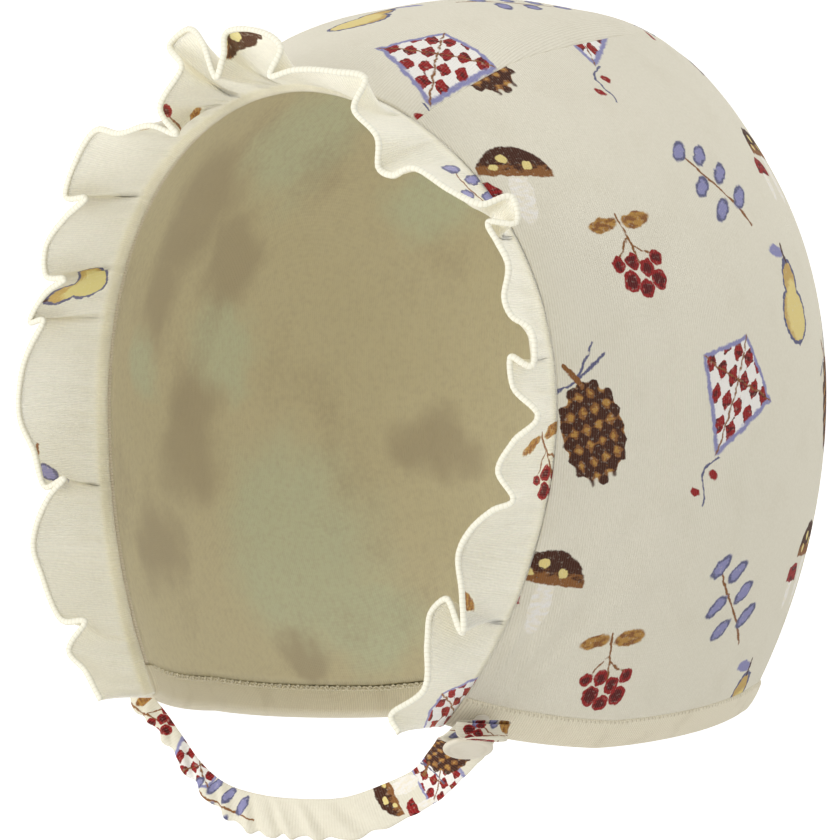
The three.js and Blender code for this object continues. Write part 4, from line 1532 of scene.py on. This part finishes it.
@dataclass
class NeckBand:
    """The band folded about the neck edge, with the seam's chain stitch inside its upper edge."""

    form: HeadForm
    proud: float = 0.3
    wall: float = 0.9
    fold_rise: float = 1.4
    swell: float = 0.2
    length: float = 335.0
    end_radius: float = 1.3
    chain_pitch: float = 1.5
    chain_wide: float = 0.42
    chain_deep: float = 0.14
    chain_drop: float = 0.55
    chain_out: float = -2.72
    thread: float = 0.2

    def corners(self, rise: Array) -> tuple[Array, Array]:
        """Plan angles of the band's left and right ends at heights above its lower edge."""
        places = (self.form.face_point(self.form.corner_angle(side, rise)) for side in (1, -1))
        left, right = (np.arctan2(place[..., 0], place[..., 1]) for place in places)
        return left, right

    def at(self, share: Array, rise: Array, out: Array) -> Array:
        """Points of the band by share from left to right, height and distance off the form."""
        left, right = self.corners(rise)
        base = self.form.neck_point(left + (right - left) * share[:, None], rise)
        return base + self.form.outward(base) * out[:, None]

    def section(self, inset: float) -> tuple[Array, Array]:
        """The line across the band's cloth: down a face, round the fold and up a face.

        Args:
            inset: How far inside the band's outer surface the line is.

        Returns:
            Heights above the neck edge and distances off the form.
        """
        depth = WALL + GAP + WALL + 2 * self.proud
        high = BAND_HEIGHT - self.fold_rise
        down = np.linspace(1, 0, 22)
        fold = np.linspace(0, math.pi, 18)[1:-1]
        edge = rolled((1 - down) * high, self.wall / 2)
        face = self.proud + self.swell * np.sin(np.pi * down) ** 0.8 - edge - inset
        middle = self.proud - depth / 2
        turned = self.fold_rise - (self.fold_rise - inset) * np.sin(fold)
        upright = self.fold_rise + high * down
        rise = np.concatenate([upright, turned, upright[::-1]])
        under = middle + (depth / 2 - inset) * np.cos(fold)
        return rise, np.concatenate([face, under, middle * 2 - face[::-1]])

    def band(self) -> Skin:
        """The band's closed wall: its outer surface and the one inside the fold.

        Beside each end both draw in to the middle of the fold by a quarter circle, which
        rounds the end and closes it. The outer one stops just short of it.
        """
        share = edged(700, self.length, 1.6)
        rise = self.section(0.0)[0]
        middles = self.at(share, rise, np.full(len(rise), -(WALL + GAP / 2)))
        near = np.clip(np.minimum(share, 1 - share) * self.length / self.end_radius, 0, 1)
        drawn = 1 - np.sqrt(1 - (1 - near) ** 2)
        faces = []
        for inset, reach in ((0.0, 0.98), (self.wall, 1.0)):
            face = self.at(share, *self.section(inset))
            faces.append(face + (middles - face) * (drawn * reach)[:, None, None])
        outer, inner = faces
        cloth = cloth_map(run_along(outer.mean(axis=1)), run_along(outer[350]))
        return wall_skin(outer, inner, cloth)

    def chain(self) -> Skin:
        """Two threads that wind about each other in small links along the inside."""
        rise = BAND_HEIGHT - self.chain_drop
        left, right = self.corners(np.array(rise))
        line = self.form.neck_point(left + (right - left) * np.linspace(0.006, 0.994, 3300), rise)
        normal = self.form.outward(line)
        upward = np.cross(normal, unit(np.gradient(line, axis=0)))
        turn = np.linspace(0, TURN, 6, endpoint=False)
        threads = []
        for start in (0.0, 0.5):
            phase = TURN * (run_along(line) / self.chain_pitch / 2 + start)
            high = self.chain_wide * np.sin(phase)
            off = self.chain_out - self.chain_deep * np.cos(2 * phase + start * TURN)
            middle = line + upward * high[:, None] + normal * off[:, None]
            ahead = unit(np.gradient(middle, axis=0))
            first = unit(np.cross(ahead, normal))
            rings = middle[:, None] + self.thread * ring(turn, first, np.cross(ahead, first))
            threads.append(tube_skin(rings, ring_map(rings)))
        return threads[0].joined(threads[1])

    def build(self) -> None:
        """Makes the band and its stitches."""
        band = place_piece("neck_band_cloth", self.band(), BandRib().material())
        chain = place_piece("neck_band_stitches", self.chain(), Thread().material())
        dress(band, "neck_band")
        dress(chain)


@dataclass
class FaceRuffle:
    """The strip gathered on the face edge, with its overlocked free edge.

    A fold is given by its place along the seam and by how far the free edge there leans along
    the seam and outward. What is left of the strip's width points forward.
    """

    edge: FaceEdge
    width: float = 21.0
    start: float = -0.3
    root_lean: float = 0.45
    root_depth: float = 0.78
    root_reach: float = 0.075
    root_wall: float = 0.72
    cloth_wall: float = 0.62
    seam_length: float = 309.0
    roll: float = 0.6
    stitch: float = STITCH
    folds: tuple[tuple[float, float, float], ...] = (
        (0, -5, -6), (3, -1, -5.5), (8, 0, -3), (12, 0, -8), (17, -2, -2.5), (25, 0.5, 0.5),
        (33, -0.5, 2), (41, 0, -3), (44, 0.5, -6.5), (45.5, -2, -2), (52, -1, 0.5), (60, -1, 4.8),
        (69, 0, 4), (77, 2, 0), (80, -2, 3.5), (85, 0, 0.5), (88, 1.5, -3), (90, -1.5, 1.5),
        (94, -0.5, 3.5), (101, 0.5, 1.3), (104.5, 3.5, -1), (107, -2, 3.5), (112, -0.5, 5.5),
        (119, 0, 6), (124, 0, 1), (131, 0.5, -2), (134, 2, -6), (136, -1, 0), (138.5, 3.5, 5.5),
        (140.5, -2, 11.5), (143, -1, 13), (146, 0, 9), (148, 1, 1.8), (149.5, 1, 6),
        (151.5, -1.5, 10.5), (157, 0, 10), (159, 1.5, 8), (161, -1.5, 2.2), (164, 0, 4.5),
        (171, 0, 7), (176, 0, 8.5), (178, -1, 2.5), (184, -0.5, 0.8), (187.5, -0.5, -4),
        (190.5, -0.5, -3), (194, -1.5, 1.5), (200, 0, 4.5), (204.5, 1, 8), (207, 0, 13),
        (209.5, 1.5, 12), (211, -2.5, 7.5), (217, -0.5, 8), (222, 0, 5.3), (225.5, 0, 5.8),
        (229, 0, 8.8), (232.5, 2.5, 8), (235, -2, 4), (239, -0.5, 4), (244, 0, 8.5), (249, 0, 4),
        (255, 0, 1.2), (260, 0, 5), (263, 0, 1), (268, 0, -3), (273, 0.5, -4.4), (280, 0.5, -1),
        (284, 3, 2), (286, -3, -4.5), (288.5, -1.5, -6.5), (293, -0.5, -4.2), (299, 1, 0),
        (305, 3, -3), (308.5, 1, 0.5),
    )
    figures: tuple[Stamp, ...] = (
        Stamp(Motif.PEAR, 112, 12, 30), Stamp(Motif.SPRIG, 62, 24, 70),
        Stamp(Motif.BERRIES, 186, 22, 150), Stamp(Motif.MUSHROOM, 238, 24, 200),
        Stamp(Motif.SPRIG, 318, 5, 80), Stamp(Motif.BERRIES, 400, 1, 60),
        Stamp(Motif.KITE, 470, 4, 30), Stamp(Motif.BERRIES, 436, 28, 120),
    )

    def middle(self, share: Array, across: Array) -> Array:
        """The strip's middle surface.

        A point is the seam's point, plus forward by twice across times what is left of it
        times the width and the root's lean, plus the square of across times the free edge's
        offset, and inward by the root's roll.
        """
        fold = ThreadLine(np.array(self.folds, float)).by_length(share)
        place, along, outward, forward = self.edge.at(fold[:, 0])
        lean, out = (fold[:, k, None, None] for k in (1, 2))
        left = np.sqrt(self.width**2 - lean**2 - out**2)
        v = across[None, :, None]
        root = 2 * v * (1 - v) * self.width * self.root_lean
        push = self.start + root + v**2 * (left - self.start)
        inward = WALL / 2 + self.root_depth * bell(v, self.root_reach)
        sheet = place[:, None] + outward[:, None] * (v**2 * out - inward)
        return sheet + along[:, None] * (v**2 * lean) + forward[:, None] * push

    def gathers(self, share: Array, across: Array) -> Array:
        """Small folds that start at the seam and die out: a sum of short waves."""
        run = share * self.seam_length
        bent = run[:, None] + 1.6 * across[None, :] * np.sin(run / 11)[:, None]
        short = ripple(bent, ((2.9, 0.6, 0.1), (4.3, 0.5, 0.4), (1.9, 0.3, 0.7)))
        fade = (1 - across) ** 1.5 * eased(across, 0.06, 0.26)
        wide = ripple(bent, ((9.7, 0.5, 0.2), (13.9, 0.5, 0.6))) * (across * (1 - across) * 4)
        return 0.3 * short * fade[None] + 0.3 * wide

    def free_length(self, share: Array) -> Array:
        """Run along the free edge in millimetres."""
        return run_along(self.middle(share, np.array([1.0]))[:, 0])

    def surface(self, share: Array, across: Array) -> tuple[Array, Array]:
        """The gathered middle surface and its normals."""

        def normals(sheet: Array) -> Array:
            """Unit normals of a grid."""
            return unit(np.cross(np.gradient(sheet, axis=0), np.gradient(sheet, axis=1)))

        sheet = self.middle(share, across)
        sheet = sheet + normals(sheet) * self.gathers(share, across)[..., None]
        return sheet, normals(sheet)

    def strip(self) -> Skin:
        """The strip's closed wall, thick at its root where the seam's turned edges lie in it."""
        share = np.linspace(0, 1, 1500)
        root = [0, 0.004, 0.01, 0.02, 0.035, 0.055, 0.08, 0.11]
        across = np.concatenate([root, np.linspace(0.145, 1 - self.roll / self.width, 20)])
        sheet, normal = self.surface(share, across)
        half = self.cloth_wall / 2 + self.root_wall * bell(across, self.root_reach)
        half = (half - rolled(across * self.width * 2, 0.5))[None, :, None]
        cloth = cloth_map(self.free_length(share), across * self.width)
        return wall_skin(sheet + normal * half, sheet - normal * half, cloth)

    def overlock(self) -> Skin:
        """The rolled free edge: a soft tube with a low ridge at each stitch across it."""
        share = np.linspace(0, 1, 3000)
        sheet, normal = self.surface(share, np.linspace(0.9, 1, 5))
        step = unit(sheet[:, -1] - sheet[:, -2])
        middle = sheet[:, -1] - step * self.roll
        run = self.free_length(share)
        turn = np.linspace(0, TURN, 12, endpoint=False)
        ridge = np.cos(TURN * (run[:, None] / self.stitch) + 0.35 * np.sin(turn)[None])
        uneven = ripple(run, ((23.0, 1, 0.2), (9.0, 0.6, 0.7)))[:, None]
        radius = self.roll * (1 + 0.035 * ridge + 0.05 * uneven)
        rings = middle[:, None] + radius[..., None] * ring(turn, step * 0.95, normal[:, -1])
        return tube_skin(rings, cloth_map(run, np.linspace(0, TURN * self.roll, 13)))

    def build(self) -> None:
        """Makes the strip and its edge."""
        # Painted light: a lighter ground than the crown's jersey, for light through the thin strip;
        # root adds painted shade beside the seam.
        finish = PrintedJersey("ruffle_jersey", ground=tone(250, 243, 216), through=0.85, root=3.4,
                               figures=NaturePrint(width=520.0, stamps=self.figures))
        strip = place_piece("face_ruffle_cloth", self.strip(), finish.material())
        edge = place_piece("face_ruffle_edge", self.overlock(), Overlock().material())
        dress(strip, "face_ruffle")
        dress(edge)


@dataclass
class ChinStrap:
    """The strap under the chin: a folded strip with a smooth upper edge and a gathered lower one.

    A section has the place of its middle, its width and the turn of its face about its length.
    """

    wall: float = 1.45
    scallop: float = 1.2
    tip_radius: float = 1.7
    tip_turn: float = 185.0
    cap_row: int = 13
    print_share: float = 1.7
    figures: tuple[Stamp, ...] = (
        Stamp(Motif.BERRIES, 12, 1, 80), Stamp(Motif.KITE, 34, -2, -70),
        Stamp(Motif.SPRIG, 50, 3, 95), Stamp(Motif.KITE, 128, 2, 60),
        Stamp(Motif.CONE, 139, -3, 100), Stamp(Motif.MUSHROOM, 112, -2, 90),
        Stamp(Motif.SPRIG, 163, 0, 0), Stamp(Motif.BERRIES, 174, 0, 10),
    )
    sections: tuple[tuple[float, float, float, float, float], ...] = (
        (-38.3, -64.3, -50.4, 4.4, -33), (-36.6, -64.6, -52.5, 4.4, -33),
        (-33.0, -64.8, -55.0, 3.4, -34), (-28.6, -65.2, -59.2, 3.2, -31),
        (-24.0, -65.3, -64.1, 3.4, -32),
        (-18.2, -65.3, -68.3, 4.6, -25), (-9.9, -64.3, -71.5, 7.2, -11),
        (-1.5, -62.2, -71.9, 7.2, -6), (7.8, -59.4, -71.4, 7.8, -2),
        (16.0, -57.2, -68.3, 7.8, 4), (23.4, -56.0, -64.3, 7.6, 16),
        (28.3, -56.9, -60.1, 8.2, 32), (32.1, -58.3, -56.9, 9.2, 58),
        (37.4, -62.6, -53.4, 10.4, 80), (42.9, -65.4, -49.4, 11.2, 84),
    )

    def frame(self, share: Array) -> tuple[Array, Array, Array, Array, Array]:
        """Middle, direction, width's direction, inner face's direction and half width."""
        rows = np.array(self.sections)
        line = ThreadLine(rows[:, :3])
        place = line.by_row(share)
        near = np.clip(share, 0.001, 0.999)
        along = unit(line.by_row(near + 0.001) - line.by_row(near - 0.001))
        keyed = np.column_stack([np.linspace(0, 1, len(rows)), rows])
        facing = np.radians(table_curve(keyed, share, 5))[:, None]
        down = unit(np.array([0, 0, -1.0]) + along * along[:, 2:3])
        width = down * np.cos(facing) + np.cross(along, down) * np.sin(facing)
        return place, along, width, np.cross(along, width), table_curve(keyed, share, 4) / 2

    def tip(self, share: Array) -> tuple[Array, Array, Array, Array]:
        """The end that rolls outward over the snap.

        Args:
            share: How far along the roll the places are, from 0 to 1.

        Returns:
            Middle, width's direction, inner face's direction and half width.
        """
        place, _, width, inner, half = (v[0] for v in self.frame(np.array([1.0])))
        turn = np.radians(self.tip_turn * share)[:, None]
        turned = inner * np.cos(turn) - np.cross(width, inner) * np.sin(turn)
        middle = place - inner * self.tip_radius + turned * self.tip_radius
        wide = np.broadcast_to(width, turned.shape)
        return middle, wide, turned, half * np.sqrt(1 - 0.6 * share**3)

    def body(self) -> Skin:
        """The strap's closed skin.

        Round each ring the half width goes with the cosine and the thickness with a power of
        the sine. Slanting waves lift both faces, more towards the lower edge, which they push out.
        """
        share = np.linspace(0, 1, 760)
        place, _, width, inner, half = self.frame(share)
        more = self.tip(np.linspace(0, 1, 90)[1:])
        lines = zip((place, width, inner, half), more)
        place, width, inner, half = (np.concatenate(pair) for pair in lines)
        run = run_along(place)
        strength = (np.clip(0.35 + run / 20, 0, 1) * np.clip((70 - run) / 16, 0.1, 1))[:, None]
        angle = np.linspace(0, TURN, 56, endpoint=False)
        across, out = np.cos(angle), np.sin(angle)
        lower = np.clip((across + 1) / 2, 0, 1)[None]
        bent = run[:, None] + 4.6 * (1 - lower) + 1.9 * np.sin(run / 6.1)[:, None]
        gather = sum(height * (0.5 - 0.5 * np.cos(TURN * bent / long + start))
                     for height, long, start in ((0.78, 5.3, 0.0), (0.22, 3.1, 1.3))) * strength
        scallop = self.scallop * (gather - 0.3 * strength)
        reach = half[:, None] * across[None] + scallop * np.clip(across, 0, 1)[None] ** 3
        face = np.sign(out) * np.abs(out) ** 0.55
        thick = self.wall / 2 * (0.62 + 0.38 * lower) + 1.25 * gather * lower**0.9 - 0.25
        rings = (place[:, None] + width[:, None] * reach[..., None]
                 + inner[:, None] * (face[None] * thick)[..., None])
        closed = np.concatenate([half[:, None] * across[None], half[:, None]], axis=1)
        sheet = np.where(np.concatenate([out, [0.0]]) >= 0, closed, closed + 30.0)
        LOG.info("chin strap: %.0f mm long with its tip", run[-1])
        return tube_skin(rings, cloth_map(run, sheet))

    def build(self) -> None:
        """Makes the strap."""
        figures = NaturePrint(width=300.0, height=30 * self.print_share, stamps=self.figures)
        finish = PrintedJersey("strap_jersey", spread=self.print_share, ground=tone(229, 225, 208),
                               knit=Knit(depth=0.08), figures=figures)
        strap = place_piece("chin_strap_cloth", self.body(), finish.material())
        dress(strap, "chin_strap")


@dataclass
class Snap:
    """The snap's cap on the strap and its stud on the band behind the strap's rolled tip."""

    form: HeadForm
    strap: ChinStrap
    cap_radius: float = 4.75
    cap_height: float = 1.1
    cap_lift: float = 0.6
    cap_rim: float = 0.5
    stud_radius: float = 2.0
    stud_height: float = 0.8
    stud_toward: tuple[float, float] = (37.8, -59.5)
    stud_rise: float = 2.5
    stud_lift: float = 0.6

    def disc(self, place: Array, axis: Array, profile: Array) -> Skin:
        """A turned disc.

        Args:
            place: The middle of its base.
            axis: Its direction.
            profile: Radius and height from the base's rim to the top's middle.

        Returns:
            The closed skin.
        """
        first = unit(np.cross(axis, (0.2, 0.9, 0.4)))
        circle = ring(np.linspace(0, TURN, 72, endpoint=False), first, np.cross(axis, first))
        rings = place + profile[:, 0, None, None] * circle + profile[:, 1, None, None] * axis
        return tube_skin(rings, ring_map(rings))

    def cap(self) -> Skin:
        """The cap: a low dome with a rounded rim and a faint ring near it."""
        share = np.array([self.strap.cap_row / (len(self.strap.sections) - 1)])
        place, _, _, inner, _ = (v[0] for v in self.strap.frame(share))
        axis = -inner
        turn = np.linspace(-math.pi / 2, math.pi / 2, 12)
        rim = self.cap_rim
        flat = np.linspace(self.cap_radius - 0.7, 0.2, 18)
        dome = 2 * rim + (self.cap_height - 2 * rim) * (1 - (flat / self.cap_radius) ** 2) ** 0.8
        dome = dome - 0.1 * bell(flat - self.cap_radius + 1.3, 0.25)
        round_rim = self.cap_radius - rim + rim * np.cos(turn)
        radius = np.concatenate([[self.cap_radius - 1.2], round_rim, flat])
        height = np.concatenate([[0.0], rim + rim * np.sin(turn), dome])
        base = place + axis * (self.strap.wall / 2 + self.cap_lift)
        return self.disc(base, axis, np.stack([radius, height], axis=-1))

    def stud(self) -> Skin:
        """The stud: a flat disc with a raised socket ring."""
        place = self.form.neck_point(math.atan2(*self.stud_toward), self.stud_rise)
        axis = self.form.outward(place)
        radius = np.array([1, 0.97, 0.9, 0.7, 0.66, 0.54, 0.5, 0.08]) * self.stud_radius
        height = np.array([0.0, 0.2, 0.35, 0.4, 0.9, 0.9, 0.45, 0.45]) * self.stud_height
        return self.disc(place + axis * self.stud_lift, axis, np.stack([radius, height], axis=-1))

    def build(self) -> None:
        """Makes the two halves of the snap."""
        finish = SnapPlastic().material()
        for node, skin in (("snap_cap", self.cap()), ("snap_stud", self.stud())):
            dress(place_piece(f"{node}_moulding", skin, finish), node)


def main() -> None:
    """Builds the bonnet from the outside in, and reports each piece."""
    logging.basicConfig(level=logging.INFO, format="%(name)s: %(message)s")
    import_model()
    PhotoCamera().build()
    form = HeadForm()
    cut, strap = CrownCut(form), ChinStrap()
    assemblies = (
        Crown(form, cut), Lining(form, cut), NeckBand(form), FaceRuffle(FaceEdge(form)), strap,
        Snap(form, strap), Studio(),
    )
    for assembly in assemblies:
        assembly.build()
        LOG.info("%s built", type(assembly).__name__)


if __name__ == "__main__":
    main()
